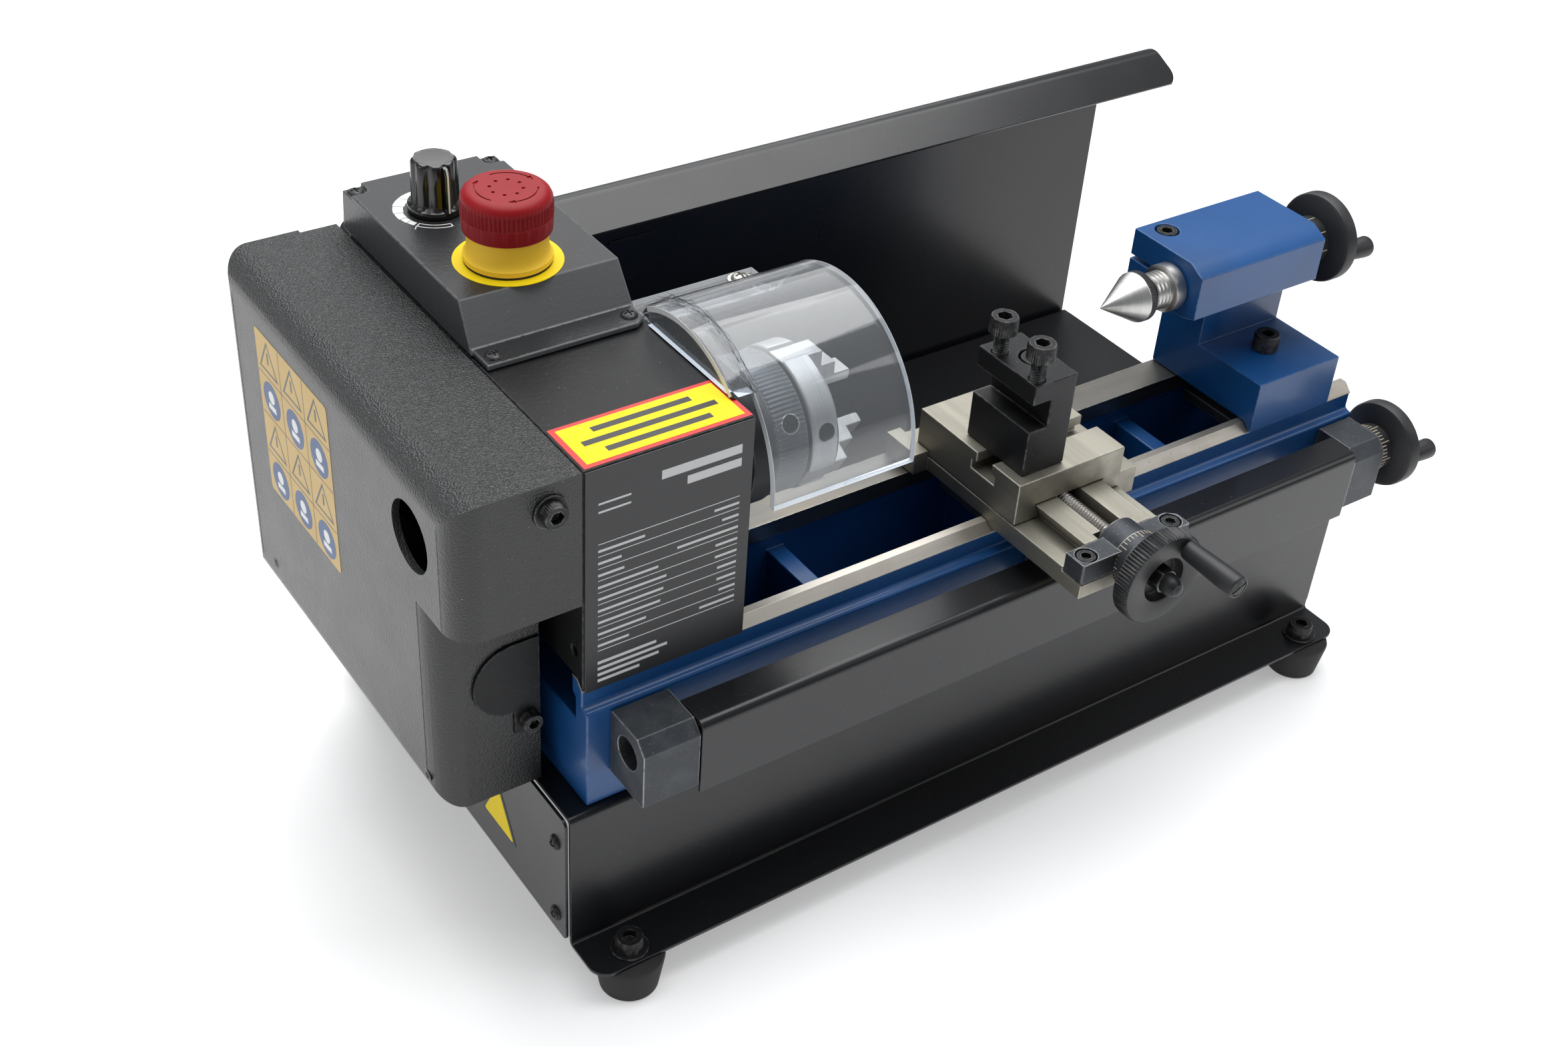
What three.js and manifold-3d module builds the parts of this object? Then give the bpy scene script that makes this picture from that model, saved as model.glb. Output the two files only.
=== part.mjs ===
// Small bench lathe for metal, in millimetres, +Z up.
// While it is built, X runs from the cabinet's left end, Y from the spindle axis (operator at -Y)
// and Z from the floor. The last lines move the whole group to the middle of its own box.
import * as THREE from "three";
import { mergeVertices } from "three/addons/utils/BufferGeometryUtils.js";
import Module from "manifold-3d";

const wasm = await Module();
wasm.setup();

// ---------- driving dimensions ----------
const AXIS_Z = 180; // spindle axis over the floor
const BED_TOP = 125; // the ways; centre height is AXIS_Z - BED_TOP
const GAP = 0.3;
const SHEET = 1.2;

const BASE = { length: 356, front: -33.4, rear: 136.6, top: 74.4, flange: 18.6, flangeTop: 16.3 };
const FOOT = { height: 15, topR: 12.5, bottomR: 10.3, xs: [16.1, 340.2], ys: [-44.8, 148] };
const BED = { left: 7.8, right: 355, bottom: BASE.top + GAP, webTop: 111 };
const HEAD = { left: 7.8, right: 66.9, front: -28, rear: 36, top: 205.6 };
const MOTOR = { y: 84, z: 160, r: 29, x0: 12, x1: 61 };
const HOUSING = { left: 8, right: 66.5, front: 36.4, rear: 134, top: 205.3, wall: 2 };
const CONSOLE = { z0: 205.9, z1: 222, left: 8.2, right: 66.3, front: 41, rear: 134 };
const KNOB = { x: 28.5, y: 104.3 };
const GLAND = { x: 17.3, z: 196.1 };
const ESTOP = { x: 33.5, y: 64 };
const COVER = { left: -34.1, right: 7.5, front: -28.4, rear: 140, bottom: 75.4, top: 205.6, wall: 2.5 };
const CHUCK = { back: 70, ring: 80, body: 92.6, face: 103.4, r: 24 };
const PULLEY = { x0: -18, x1: -6, spindleR: 19.5, motorR: 10 };
const GUARD = { y: 11.4, z: 173.8, r: 43.9, wall: 2.4, left: 65.1, notch: 72.8, right: 127 };
const HINGE = { y: 55, z: 189.6 };
const LEAD = { y: -41, z: 102.9, r: 5 };
const SADDLE = { left: 171.5, right: 219.8, front: -72.9, rear: 27, top: 131 };
const SLIDE = { front: -37.7, rear: 17.2, bottom: 131.3, top: 148 };
const CROSS = { x: 195.7, z: 132 };
const POST = { left: 175.6, right: 194, front: -33.8, rear: -3.7, bottom: 148.3, top: 184.4 };
const TAIL = { left: 269.4, right: 333.3, front: -14, rear: 22.3, bottom: 170.5, top: 192.7 };
const WHEEL_R = 17.4;

// ---------- materials ----------
const paint = (color, roughness, metalness) =>
  new THREE.MeshStandardMaterial({ color, roughness, metalness });
const glossBlack = paint(0x101113, 0.22, 0.1);
const satinBlack = paint(0x1b1c1e, 0.5, 0.1);
const mouldedBlack = paint(0x202124, 0.6, 0);
const castingBlue = paint(0x143f86, 0.35, 0.1);
const bareSteel = paint(0xb9b5aa, 0.35, 0.9);
const darkSteel = paint(0x3c3f44, 0.45, 0.7);
const oxide = paint(0x1f2022, 0.4, 0.6);
const rubber = paint(0x0b0b0c, 0.8, 0);
const red = paint(0xb0101d, 0.4, 0);
const yellow = paint(0xf2c319, 0.45, 0);
const clear = new THREE.MeshStandardMaterial({
  color: 0xdfe6ea, roughness: 0.06, metalness: 0, transparent: true, opacity: 0.35,
});

// ---------- solids ----------
const basis = (x, y, z) => new THREE.Matrix4().makeBasis(x, y, z);
const AX = new THREE.Vector3(1, 0, 0), AY = new THREE.Vector3(0, 1, 0), AZ = new THREE.Vector3(0, 0, 1);
const LATHE_TO_X = basis(AY, AX, AZ.clone().negate()); // a turned profile's height runs along +X
const LATHE_TO_Y = basis(AX, AY, AZ);
const LATHE_TO_Z = basis(AY, AZ, AX);

function solid(geometry) {
  const g = geometry.index ? geometry.toNonIndexed() : geometry.clone();
  g.deleteAttribute("normal");
  g.deleteAttribute("uv");
  const merged = mergeVertices(g, 1e-4);
  const triVerts = new Uint32Array(merged.index.array);
  const vertProperties = merged.attributes.position.array;
  const made = new wasm.Manifold(new wasm.Mesh({ numProp: 3, vertProperties, triVerts }));
  if (made.volume() > 0) return made;
  for (let i = 0; i < triVerts.length; i += 3)
    [triVerts[i + 1], triVerts[i + 2]] = [triVerts[i + 2], triVerts[i + 1]];
  return new wasm.Manifold(new wasm.Mesh({ numProp: 3, vertProperties, triVerts }));
}

const block = (x0, x1, y0, y1, z0, z1) =>
  solid(new THREE.BoxGeometry(x1 - x0, y1 - y0, z1 - z0)
    .translate((x0 + x1) / 2, (y0 + y1) / 2, (z0 + z1) / 2));

function extruded(points, depth, matrix) {
  const shape = new THREE.Shape(points.map(([a, b]) => new THREE.Vector2(a, b)));
  return solid(new THREE.ExtrudeGeometry(shape, { depth, bevelEnabled: false }).applyMatrix4(matrix));
}
const prismX = (points, x0, x1) =>
  extruded(points, x1 - x0, basis(AY, AZ, AX).setPosition(x0, 0, 0));
const prismY = (points, y0, y1) =>
  extruded(points, y1 - y0, basis(AX, AZ, AY.clone().negate()).setPosition(0, y1, 0));
const prismZ = (points, z0, z1) => extruded(points, z1 - z0, basis(AX, AY, AZ).setPosition(0, 0, z0));

// A turned solid from [radius, height] pairs; a profile off the axis is closed into a ring.
function turned(profile, matrix, segments = 20) {
  const onAxis = profile[0][0] === 0 && profile[profile.length - 1][0] === 0;
  const points = (onAxis ? profile : [...profile, profile[0]]).map(([r, h]) => new THREE.Vector2(r, h));
  return solid(new THREE.LatheGeometry(points, segments).applyMatrix4(matrix));
}
const turnedX = (profile, y = 0, z = 0, segments = 20) =>
  turned(profile, LATHE_TO_X, segments).translate([0, y, z]);
const turnedY = (profile, x = 0, z = 0, segments = 20) =>
  turned(profile, LATHE_TO_Y, segments).translate([x, 0, z]);
const turnedZ = (profile, x = 0, y = 0, segments = 20) =>
  turned(profile, LATHE_TO_Z, segments).translate([x, y, 0]);
const rod = (r, a, b) => [[0, a], [r, a], [r, b], [0, b]];
const tube = (inner, outer, a, b) => [[inner, a], [outer, a], [outer, b], [inner, b]];
const rodX = (r, x0, x1, y, z, n = 16) => turnedX(rod(r, x0, x1), y, z, n);
const rodY = (r, y0, y1, x, z, n = 16) => turnedY(rod(r, y0, y1), x, z, n);
const rodZ = (r, z0, z1, x, y, n = 16) => turnedZ(rod(r, z0, z1), x, y, n);

// A box whose top is another rectangle than its foot.
function tapered(foot, top, z0, z1) {
  const g = new THREE.BoxGeometry(1, 1, 1);
  const p = g.attributes.position;
  for (let i = 0; i < p.count; i++) {
    const side = p.getZ(i) > 0 ? top : foot;
    p.setXYZ(i, side[p.getX(i) > 0 ? 1 : 0], side[p.getY(i) > 0 ? 3 : 2], p.getZ(i) > 0 ? z1 : z0);
  }
  return solid(g);
}

// A rectangle in a plane with its listed corners rounded: [u, v, radius] going round.
function roundedOutline(corners, steps = 4) {
  const out = [];
  corners.forEach(([u, v, r], i) => {
    if (!r) return out.push([u, v]);
    const before = corners[(i + corners.length - 1) % corners.length];
    const after = corners[(i + 1) % corners.length];
    const a = new THREE.Vector2(before[0] - u, before[1] - v).normalize();
    const b = new THREE.Vector2(after[0] - u, after[1] - v).normalize();
    const centre = new THREE.Vector2(u + (a.x + b.x) * r, v + (a.y + b.y) * r);
    for (let k = 0; k <= steps; k++) {
      const t = (k / steps) * (Math.PI / 2);
      out.push([centre.x - b.x * r * Math.cos(t) - a.x * r * Math.sin(t),
        centre.y - b.y * r * Math.cos(t) - a.y * r * Math.sin(t)]);
    }
  });
  return out;
}

const group = new THREE.Group();
group.name = "metal_lathe";
function section(name) {
  const g = new THREE.Group();
  g.name = name;
  group.add(g);
  return g;
}
function add(parent, name, body, material, position = [0, 0, 0]) {
  const m = body.getMesh();
  const g = new THREE.BufferGeometry();
  g.setAttribute("position", new THREE.BufferAttribute(m.vertProperties, 3));
  g.setIndex(new THREE.BufferAttribute(m.triVerts, 1));
  const flat = g.toNonIndexed();
  flat.computeVertexNormals();
  const mesh = new THREE.Mesh(flat, material);
  mesh.name = name;
  mesh.position.set(...position);
  parent.add(mesh);
}

// ---------- cabinet, feet, splash guard ----------
const cabinet = section("cabinet");

function baseCabinet() {
  const { front, rear, top, flange, flangeTop, length } = BASE;
  const under = flangeTop - SHEET;
  return prismX([
    [front - flange, under], [front - flange, flangeTop], [front, flangeTop], [front, top],
    [rear, top], [rear, flangeTop], [rear + flange, flangeTop], [rear + flange, under],
    [rear - SHEET, under], [rear - SHEET, top - SHEET], [front + SHEET, top - SHEET], [front + SHEET, under],
  ].reverse(), 0, length);
}

function endCover() {
  const plate = roundedOutline([
    [BASE.front + 2, BASE.flangeTop + 1.5, 3], [BASE.rear - 2, BASE.flangeTop + 1.5, 3],
    [BASE.rear - 2, BASE.top - 1.5, 3], [BASE.front + 2, BASE.top - 1.5, 3],
  ], 2);
  return prismX(plate, 0, SHEET);
}

function foot() {
  const { height, topR, bottomR } = FOOT;
  return turnedZ([[0, 0], [bottomR, 0], [bottomR + 0.4, 1], [topR, height], [0, height]]);
}

function splashGuard() {
  const wall = BASE.rear + GAP, lipEdge = 113.3, lipRight = 379;
  const outside = [[wall + SHEET, 191.5], [137.2, 195.2], [135.3, 197.8], [132.3, 199], [128.4, 198.7],
    [lipEdge, 191.6]];
  const inside = [[lipEdge + 0.4, 190.4], [128.6, 197.4], [132, 197.7], [134.4, 196.8], [136.1, 194.7],
    [wall, 191.4]];
  const sheet = prismX([[wall, 32], [wall + SHEET, 32], ...outside, ...inside].reverse(), 69.4, lipRight);
  const besideWall = block(356.4, 400, wall - 0.3, 160, 0, 190.6);
  const tip = [[372, 100], [380, 100], [380, 121], [378.8, 117.6], [376.8, 115], [374, 113.5]];
  const corner = prismZ(tip, 180, 200);
  return sheet.subtract(besideWall).subtract(corner);
}

add(cabinet, "base_cabinet", baseCabinet(), glossBlack);
add(cabinet, "base_end_cover_left", endCover(), glossBlack, [-SHEET - GAP, 0, 0]);
add(cabinet, "base_end_cover_right", endCover(), glossBlack, [BASE.length + GAP, 0, 0]);
add(cabinet, "splash_guard", splashGuard(), satinBlack);
FOOT.ys.forEach((y, row) => FOOT.xs.forEach((x, column) => {
  const place = (row ? "rear" : "front") + "_" + (column ? "right" : "left");
  add(cabinet, "foot_" + place, foot(), rubber, [x, y, 0]);
}));

// ---------- bed ----------
const bedway = section("bedway");

function bed() {
  const { left, right, bottom, webTop } = BED;
  const frontWall = prismX([
    [-30.4, bottom], [-23.1, bottom], [-23.1, 116.5], [-21.1, 118], [-21.1, BED_TOP], [-24.1, BED_TOP],
    [-27.4, BED_TOP - 3.3], [-27.4, 115], [-28.2, 114.3], [-29.4, 114.3], [-30.4, 113.2],
  ], left, right);
  const rearWall = prismX([
    [15, bottom], [28, bottom], [28, 112.4], [26.3, 114], [26.3, BED_TOP], [12.7, BED_TOP],
    [12.7, 118.2], [15, 116],
  ], left, right);
  let body = frontWall.add(rearWall);
  for (const [x0, x1, top] of [[left, 15.8, 108], [106, 113, webTop], [188, 195, webTop],
    [270, 277, webTop], [347, right, 116]])
    body = body.add(prismX([[-24, bottom], [16, bottom], [16, top - 8], [-24, top]], x0, x1));
  return body;
}
add(bedway, "bed", bed(), castingBlue);

// ---------- headstock ----------
const headstock = section("headstock");

function headCasting() {
  const { left, right, front, rear, top } = HEAD;
  let body = prismX([
    [front, 121.9], [front + 0.3, 121.9], [-24.2, BED_TOP + GAP], [rear, BED_TOP + GAP], [rear, top], [front, top],
  ], left, right);
  body = body.subtract(rodX(13, left - 1, right + 1, 0, AXIS_Z, 20));
  for (const [a, b] of [[left - 1, left + 10], [right - 10, right + 1]])
    body = body.subtract(rodX(16.3, a, b, 0, AXIS_Z, 20));
  return body;
}

function motorHousing() {
  const { left, right, front, rear, top, wall } = HOUSING;
  const bottom = BASE.top + GAP;
  return block(left, right, front, rear, bottom, top)
    .subtract(block(left + wall, right - wall, front + wall, rear - wall, bottom - 1, top - wall))
    .subtract(block(13, 60, 46, 125, top - 5, top + 1))
    .subtract(rodX(7, left - 1, left + 4, MOTOR.y, MOTOR.z, 20))
    .subtract(rodY(5, rear - 4, rear + 1, GLAND.x, GLAND.z, 16));
}

function motor() {
  const { r, x0, x1 } = MOTOR;
  return turnedX([[0, x1], [9, x1], [9, x1 - 2], [r - 2, x1 - 2], [r, x1 - 4], [r, x0 + 3], [r - 2, x0 + 0.5],
    [3.4, x0 + 0.5], [3.4, x0 + 22], [0, x0 + 22]], 0, 0, 20);
}

function motorPulley() {
  const { x0, x1, motorR } = PULLEY;
  return turnedX([[0, x0 - 2], [3, x0 - 2], [3, x0], [motorR + 1, x0], [motorR + 1, x0 + 1], [motorR, x0 + 1],
    [motorR, x1 - 1], [motorR + 1, x1 - 1], [motorR + 1, x1], [3, x1], [3, 30], [0, 30]], 0, 0, 16);
}

function spindlePulley() {
  const { x0, x1, spindleR } = PULLEY;
  return turnedX([[8.7, x0], [spindleR + 1, x0], [spindleR + 1, x0 + 1], [spindleR, x0 + 1], [spindleR, x1 - 1],
    [spindleR + 1, x1 - 1], [spindleR + 1, x1], [8.7, x1]], 0, 0, 20);
}

// The two arcs and two straight runs of a loop round both pulleys, a set distance outside them.
function beltLine(offset) {
  const r1 = PULLEY.spindleR + offset, r2 = PULLEY.motorR + offset;
  const dy = MOTOR.y, dz = MOTOR.z - AXIS_Z, distance = Math.hypot(dy, dz);
  const aim = Math.atan2(dz, dy), spread = Math.acos((r1 - r2) / distance);
  const points = [];
  const arc = (cy, cz, r, from, to, steps) => {
    for (let k = 0; k <= steps; k++) {
      const t = from + ((to - from) * k) / steps;
      points.push([cy + r * Math.cos(t), cz + r * Math.sin(t)]);
    }
  };
  arc(0, AXIS_Z, r1, aim + spread, aim + 2 * Math.PI - spread, 18);
  arc(MOTOR.y, MOTOR.z, r2, aim - spread, aim + spread, 8);
  return points;
}
function driveBelt() {
  const { x0, x1 } = PULLEY;
  return prismX(beltLine(2.6), x0 + 1.6, x1 - 1.6).subtract(prismX(beltLine(0.5), x0, x1));
}

function spindle() {
  return turnedX([[5, -26], [8.4, -26], [8.4, 66.9], [15, 67.4], [15, 69.6], [8, 69.6], [8, 74], [5, 74]],
    0, 0, 20);
}

function bearing() {
  return turnedX(tube(8.7, 16, 0, 9));
}

function beltCover() {
  const { left, right, front, rear, bottom, top, wall } = COVER;
  const step = 157, stepFront = -11.7, lowerRight = 1.5;
  const shell = (inset, open) => {
    const l = left + inset, f = front + inset, r = rear - inset, b = bottom + inset, t = top - inset;
    const radius = 10 - inset;
    const side = prismY(roundedOutline([[l, b, radius], [right + open, b], [right + open, t], [l, t, radius]]), f, r);
    const plan = roundedOutline([[l, f, radius], [right + open, f], [right + open, r], [l, r, radius]]);
    const low = roundedOutline([[l, stepFront + inset, radius], [right + open, stepFront + inset],
      [right + open, r], [l, r, radius]]);
    const upper = prismZ(plan, step + inset, t + 1);
    return side.intersect(upper.add(prismZ(low, b - 1, step + inset + 0.01)));
  };
  return shell(0, 0).subtract(shell(wall, 5))
    .subtract(block(lowerRight, right + 1, -40, 12, 0, step - 2))
    .subtract(rodX(11.7, left - 1, left + wall + 1, 0, AXIS_Z, 20))
    .subtract(block(-5.4, right + 1, rear - 1.8, rear + 1, top - 10, top + 1));
}

function coverHatch() {
  const outline = [];
  for (let k = 0; k <= 12; k++) {
    const t = Math.PI / 2 + (k / 12) * Math.PI;
    outline.push([-8 + 14 * Math.cos(t), 122.8 + 14 * Math.sin(t)]);
  }
  return prismY([...outline, [-8, 99.6], [1.2, 99.6], [1.2, 136.8]], -12.7, -12);
}

function specPlate() {
  return block(8.2, 66.5, -28.6, -28.1, 121.6, 205.2);
}

function consoleBox() {
  const { z0, z1, left, right, front, rear } = CONSOLE;
  const flange = prismZ([[8.8, 31.2], [61.5, 31.2], [65.5, 34], [65.5, front + 2], [8.8, front + 2]], z0, z0 + 2);
  return tapered([left, right, front, rear], [left, 64.4, 48.4, 132.3], z0, z1).add(flange)
    .subtract(tapered([left + 2, right - 2, front + 2, rear - 2], [left + 2, 62.2, 49.8, 130.5], z0 - 0.1, z1 - 2))
    .subtract(rodZ(3.6, z1 - 4, z1 + 1, KNOB.x, KNOB.y, 12))
    .subtract(rodZ(11.4, z1 - 4, z1 + 1, ESTOP.x, ESTOP.y, 20));
}

function speedKnob() {
  const z = CONSOLE.z1 + 0.5;
  return turnedZ([[0, z - 12], [3, z - 12], [3, z], [9.3, z], [9.3, z + 2.4], [7.9, z + 4], [7.3, z + 17.2],
    [6.4, z + 18], [0, z + 18]], 0, 0, 16);
}

function estopCollar() {
  const z = CONSOLE.z1;
  return turnedZ([[5.5, z - 22], [11, z - 22], [11, z + 0.8], [14.2, z + 0.8], [14.2, z + 2.8], [12.9, z + 4.6],
    [12.9, z + 11], [5.5, z + 11]], 0, 0, 20);
}

function estopButton() {
  const z = CONSOLE.z1 + 11.5;
  return turnedZ([[0, z - 30], [5, z - 30], [5, z + 4], [13.4, z + 4], [13.4, z], [14.6, z], [14.6, z + 11.4],
    [12.6, z + 13.5], [0, z + 13.5]], 0, 0, 20);
}

function cableGland() {
  const y = HOUSING.rear;
  return turnedY([[0, y - 6], [4.6, y - 6], [4.6, y + 0.2], [7, y + 0.2], [7, y + 5], [5.6, y + 5.5], [5.2, y + 14],
    [3.4, y + 14], [3.4, y + 4], [0, y + 4]], 0, 0, 20);
}

add(headstock, "headstock_casting", headCasting(), satinBlack);
add(headstock, "spec_plate", specPlate(), satinBlack);
add(headstock, "motor_housing", motorHousing(), satinBlack);
add(headstock, "drive_motor", motor(), darkSteel, [0, MOTOR.y, MOTOR.z]);
add(headstock, "motor_pulley", motorPulley(), darkSteel, [0, MOTOR.y, MOTOR.z]);
add(headstock, "spindle_pulley", spindlePulley(), darkSteel, [0, 0, AXIS_Z]);
add(headstock, "drive_belt", driveBelt(), rubber);
add(headstock, "spindle", spindle(), bareSteel, [0, 0, AXIS_Z]);
add(headstock, "spindle_bearing_left", bearing(), bareSteel, [HEAD.left + 0.6, 0, AXIS_Z]);
add(headstock, "spindle_bearing_right", bearing(), bareSteel, [HEAD.right - 9.6, 0, AXIS_Z]);
add(headstock, "belt_cover", beltCover(), mouldedBlack);
add(headstock, "belt_cover_hatch", coverHatch(), satinBlack);
add(headstock, "control_box", consoleBox(), satinBlack);
add(headstock, "speed_knob", speedKnob(), mouldedBlack, [KNOB.x, KNOB.y, 0]);
add(headstock, "estop_collar", estopCollar(), yellow, [ESTOP.x, ESTOP.y, 0]);
add(headstock, "estop_button", estopButton(), red, [ESTOP.x, ESTOP.y, 0]);
add(headstock, "cable_gland", cableGland(), rubber, [GLAND.x, 0, GLAND.z]);

// ---------- chuck and its guard ----------
const chuck = section("chuck");

function chuckBody() {
  const { back, ring, body, face, r } = CHUCK;
  let solidBody = turnedX([[8.3, back], [24, back], [24, ring - 0.3], [16.8, ring - 0.3], [16.8, body],
    [r, body], [r, face - 1], [r - 1, face], [8.3, face]], 0, 0, 24);
  solidBody = solidBody.subtract(rodZ(2.6, r - 7, r + 2, 98, 0, 16).rotate([-60, 0, 0]));
  for (let k = 0; k < 3; k++)
    solidBody = solidBody.subtract(block(body - 1, face + 1, -4.3, 4.3, 5, r + 2).rotate([k * 120, 0, 0]));
  return solidBody;
}

function scrollRing() {
  const { ring } = CHUCK;
  const holes = rodZ(2.6, 18, 26, ring + 5.6, 0, 16);
  let body = turnedX(tube(17.2, 23.4, ring, ring + 11.6), 0, 0, 24);
  for (const turn of [0, 120, 240]) body = body.subtract(holes.rotate([turn - 60, 0, 0]));
  return body;
}

function chuckJaw() {
  const { body, face } = CHUCK;
  return prismY([[body + 0.5, 8.8], [120, 8.8], [120, 12.4], [114, 12.4], [114, 17], [108.5, 17],
    [108.5, 22.6], [body + 0.5, 22.6]], -4, 4);
}

function chuckGuard() {
  const { y, z, r, wall, left, notch, right } = GUARD;
  const arc = (radius, from, to, steps) => {
    const points = [];
    for (let k = 0; k <= steps; k++) {
      const t = THREE.MathUtils.degToRad(from + ((to - from) * k) / steps);
      points.push([y + radius * Math.cos(t), z + radius * Math.sin(t)]);
    }
    return points;
  };
  const band = (from, to, steps) => [...arc(r, from, to, steps), ...arc(r - wall, to, from, steps)];
  const belowHead = block(0, 200, -60, 90, 100, HEAD.top + 0.7);
  const shell = prismX(band(29.5, 184, 18), notch, right);
  const overHead = prismX(band(45, 135, 10), left, notch + 1).subtract(belowHead);
  const endWall = prismX(arc(r - 1, 45, 135, 10), left, left + 2).subtract(belowHead);
  const flange = block(notch, 123.6, 47.5, 58.8, 194.8, 197.2);
  const besideConsole = block(60, 66.8, 30.8, 90, 200, 225);
  return shell.add(overHead.add(endWall).subtract(besideConsole)).add(flange);
}

function guardLeaf() {
  const { y, z } = HINGE;
  return turnedX(tube(2.9, 4.2, 80, 122), y, z, 16).add(block(80, 122, 50.4, y + 3.6, z + 3.4, z + 4.9));
}

function hingeRod() {
  const { y, z } = HINGE;
  const arm = block(66.9, 69.4, 49, 63, z - 8, z + 5);
  return rodX(2.5, 68, 124, y, z).add(arm).add(rodX(4.2, 69, 79.6, y, z));
}

add(chuck, "chuck_body", chuckBody(), bareSteel, [0, 0, AXIS_Z]);
add(chuck, "chuck_scroll_ring", scrollRing(), darkSteel, [0, 0, AXIS_Z]);
for (let k = 0; k < 3; k++)
  add(chuck, "chuck_jaw_" + (k + 1), chuckJaw().rotate([k * 120, 0, 0]), bareSteel, [0, 0, AXIS_Z]);
add(chuck, "chuck_guard", chuckGuard(), clear);
add(chuck, "guard_hinge_leaf", guardLeaf(), oxide);
add(chuck, "guard_hinge_rod", hingeRod(), oxide);

// ---------- leadscrew along the bed's front ----------
const feed = section("feed");

function bearingBlock(width, openBore) {
  const body = prismX([[-51, 86.9], [-30.7, 86.9], [-30.7, 113], [-46.6, 113], [-51, 108.4]], 0, width);
  return body.subtract(rodX(4.3, -1, width + 1, LEAD.y, LEAD.z, 20))
    .subtract(rodX(5.8, -1, openBore, LEAD.y, LEAD.z, 20));
}

function leadscrew() {
  return turnedX([[0, 27], [4, 27], [4, 38], [LEAD.r, 38.5], [LEAD.r, 334], [4, 334.5], [4, 353.2],
    [3.4, 353.4], [3.4, 366], [0, 366]], 0, 0, 20);
}

function leadscrewCover() {
  return prismX([[-51.3, 83.7], [-50.1, 83.7], [-50.1, 111.8], [-37.7, 111.8], [-37.7, 113],
    [-50.6, 113], [-51.3, 112.3]], 37.4, 335.7);
}

// Dished handwheel with its graduated collar, facing +X from its own back face.
function handwheel(backX, collar) {
  const r = WHEEL_R;
  return turnedX([[3.6, 0], [9.2, 0], [9.2, collar], [r - 1.2, collar + 1.2], [r, collar + 2.2], [r, collar + 6.6],
    [r - 1, collar + 7.4], [r - 2.6, collar + 7.4], [8.6, collar + 4.6], [7, collar + 6.6], [3.6, collar + 6.6]],
  0, 0, 20).translate([backX, 0, 0]);
}
const crank = (length) =>
  turnedX([[0, 0], [3.4, 0], [4, 1.2], [4.2, length - 1.5], [3.2, length], [0, length]], 0, 0, 20);

function carriageNut() {
  const { y, z } = LEAD;
  return block(186, 205, -36.6, -31.4, 96.5, 123.2).add(block(186, 205, y - 6.2, -34, 96.5, 109.4))
    .subtract(rodX(LEAD.r + 0.4, 180, 210, y, z, 20));
}

add(feed, "leadscrew", leadscrew(), bareSteel, [0, LEAD.y, LEAD.z]);
add(feed, "bearing_block_left", bearingBlock(20.8, 11), darkSteel, [16.2, 0, 0]);
add(feed, "bearing_block_right", bearingBlock(16.9, 0.2), darkSteel, [336.2, 0, 0]);
add(feed, "leadscrew_cover", leadscrewCover(), glossBlack);
add(feed, "lead_handwheel", handwheel(353.7, 6.2), oxide, [0, LEAD.y, LEAD.z]);
add(feed, "lead_crank", crank(11.6), oxide, [367.4, LEAD.y - 11.8, LEAD.z - 0.4]);

// ---------- carriage ----------
const carriage = section("carriage");

function saddle() {
  const { left, right, front, rear, top } = SADDLE;
  let body = prismX([
    [front, 123.6], [-26.1, 123.6], [-24.3, BED_TOP + 0.4], [rear, BED_TOP + 0.4], [rear, top],
    [-63.4, top], [-63.4, 129.3], [front, 129.3],
  ], left, right);
  body = body.add(block(180, 212, -20.6, 12.2, 114, 126))
    .add(block(right - 1, 228.5, -37, -6, BED_TOP + 0.4, top)).add(block(right + 0.4, 228.5, -37, -6, top - 1, 136.4))
    .add(block(165, left + 1, 10, rear, BED_TOP + 0.4, top)).add(block(165, left - 0.4, 10, rear, top - 1, 134));
  for (const [x0, x1, slant] of [[180.6, 190.6, 3], [201, 211, -3]])
    body = body.add(prismY([[x0 + Math.max(slant, 0), top - 0.5], [x1 + Math.min(slant, 0), top - 0.5],
      [x1, 136.8], [x0, 136.8]], -63, 22));
  return body.subtract(block(190.6, 200.8, -74, rear - 4, 127, 140))
    .subtract(rodY(10, -74, -60, CROSS.x, CROSS.z, 20));
}

function crossSlide() {
  const { left, right } = SADDLE, { front, rear, bottom, top } = SLIDE;
  return block(left, right, front, rear, bottom, top)
    .subtract(prismY([[183.2, bottom - 1], [208.6, bottom - 1], [208.6, bottom], [211.4, 137.2], [180.2, 137.2],
      [183.2, bottom]], front - 1, rear + 1))
    .subtract(block(left - 1, right + 1, -22.6, -14.8, 142, top + 1))
    .subtract(block(left - 1, right + 1, -25, -12.4, 140.4, 144));
}

function crossNut() {
  return block(190.9, 200.5, -22, -8, 127.3, 137).subtract(rodY(3.9, -23, -7, CROSS.x, CROSS.z));
}

function crossScrew() {
  return turnedY([[0, -94.2], [2.4, -94.2], [2.4, -87], [3, -87], [3, -61.6], [3.6, -61], [3.6, 15], [0, 15]],
    0, 0, 20);
}

function crossBracket() {
  const { left, right, front } = SADDLE;
  const bar = prismZ([[left, front], [right, front], [right, -66.5], [216.6, -63.7], [left, -63.7]], 129.6, 137.5);
  return bar.add(rodY(9.5, -76.2, -62.2, CROSS.x, CROSS.z, 20))
    .subtract(rodY(3.3, -80, -60, CROSS.x, CROSS.z, 20))
    .subtract(rodZ(3.7, 134, 140, 176.4, -68.4, 16)).subtract(rodZ(3.7, 134, 140, 215, -68.2, 16));
}

function crossHandwheel() {
  const r = WHEEL_R;
  return turnedY([[3.3, -76.6], [3.3, -84], [9, -84], [9, -87.2], [r - 0.8, -87.2], [r, -86.4],
    [r, -80.8], [r - 0.8, -80], [9.3, -80], [9.3, -76.6]], 0, 0, 24);
}

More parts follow.
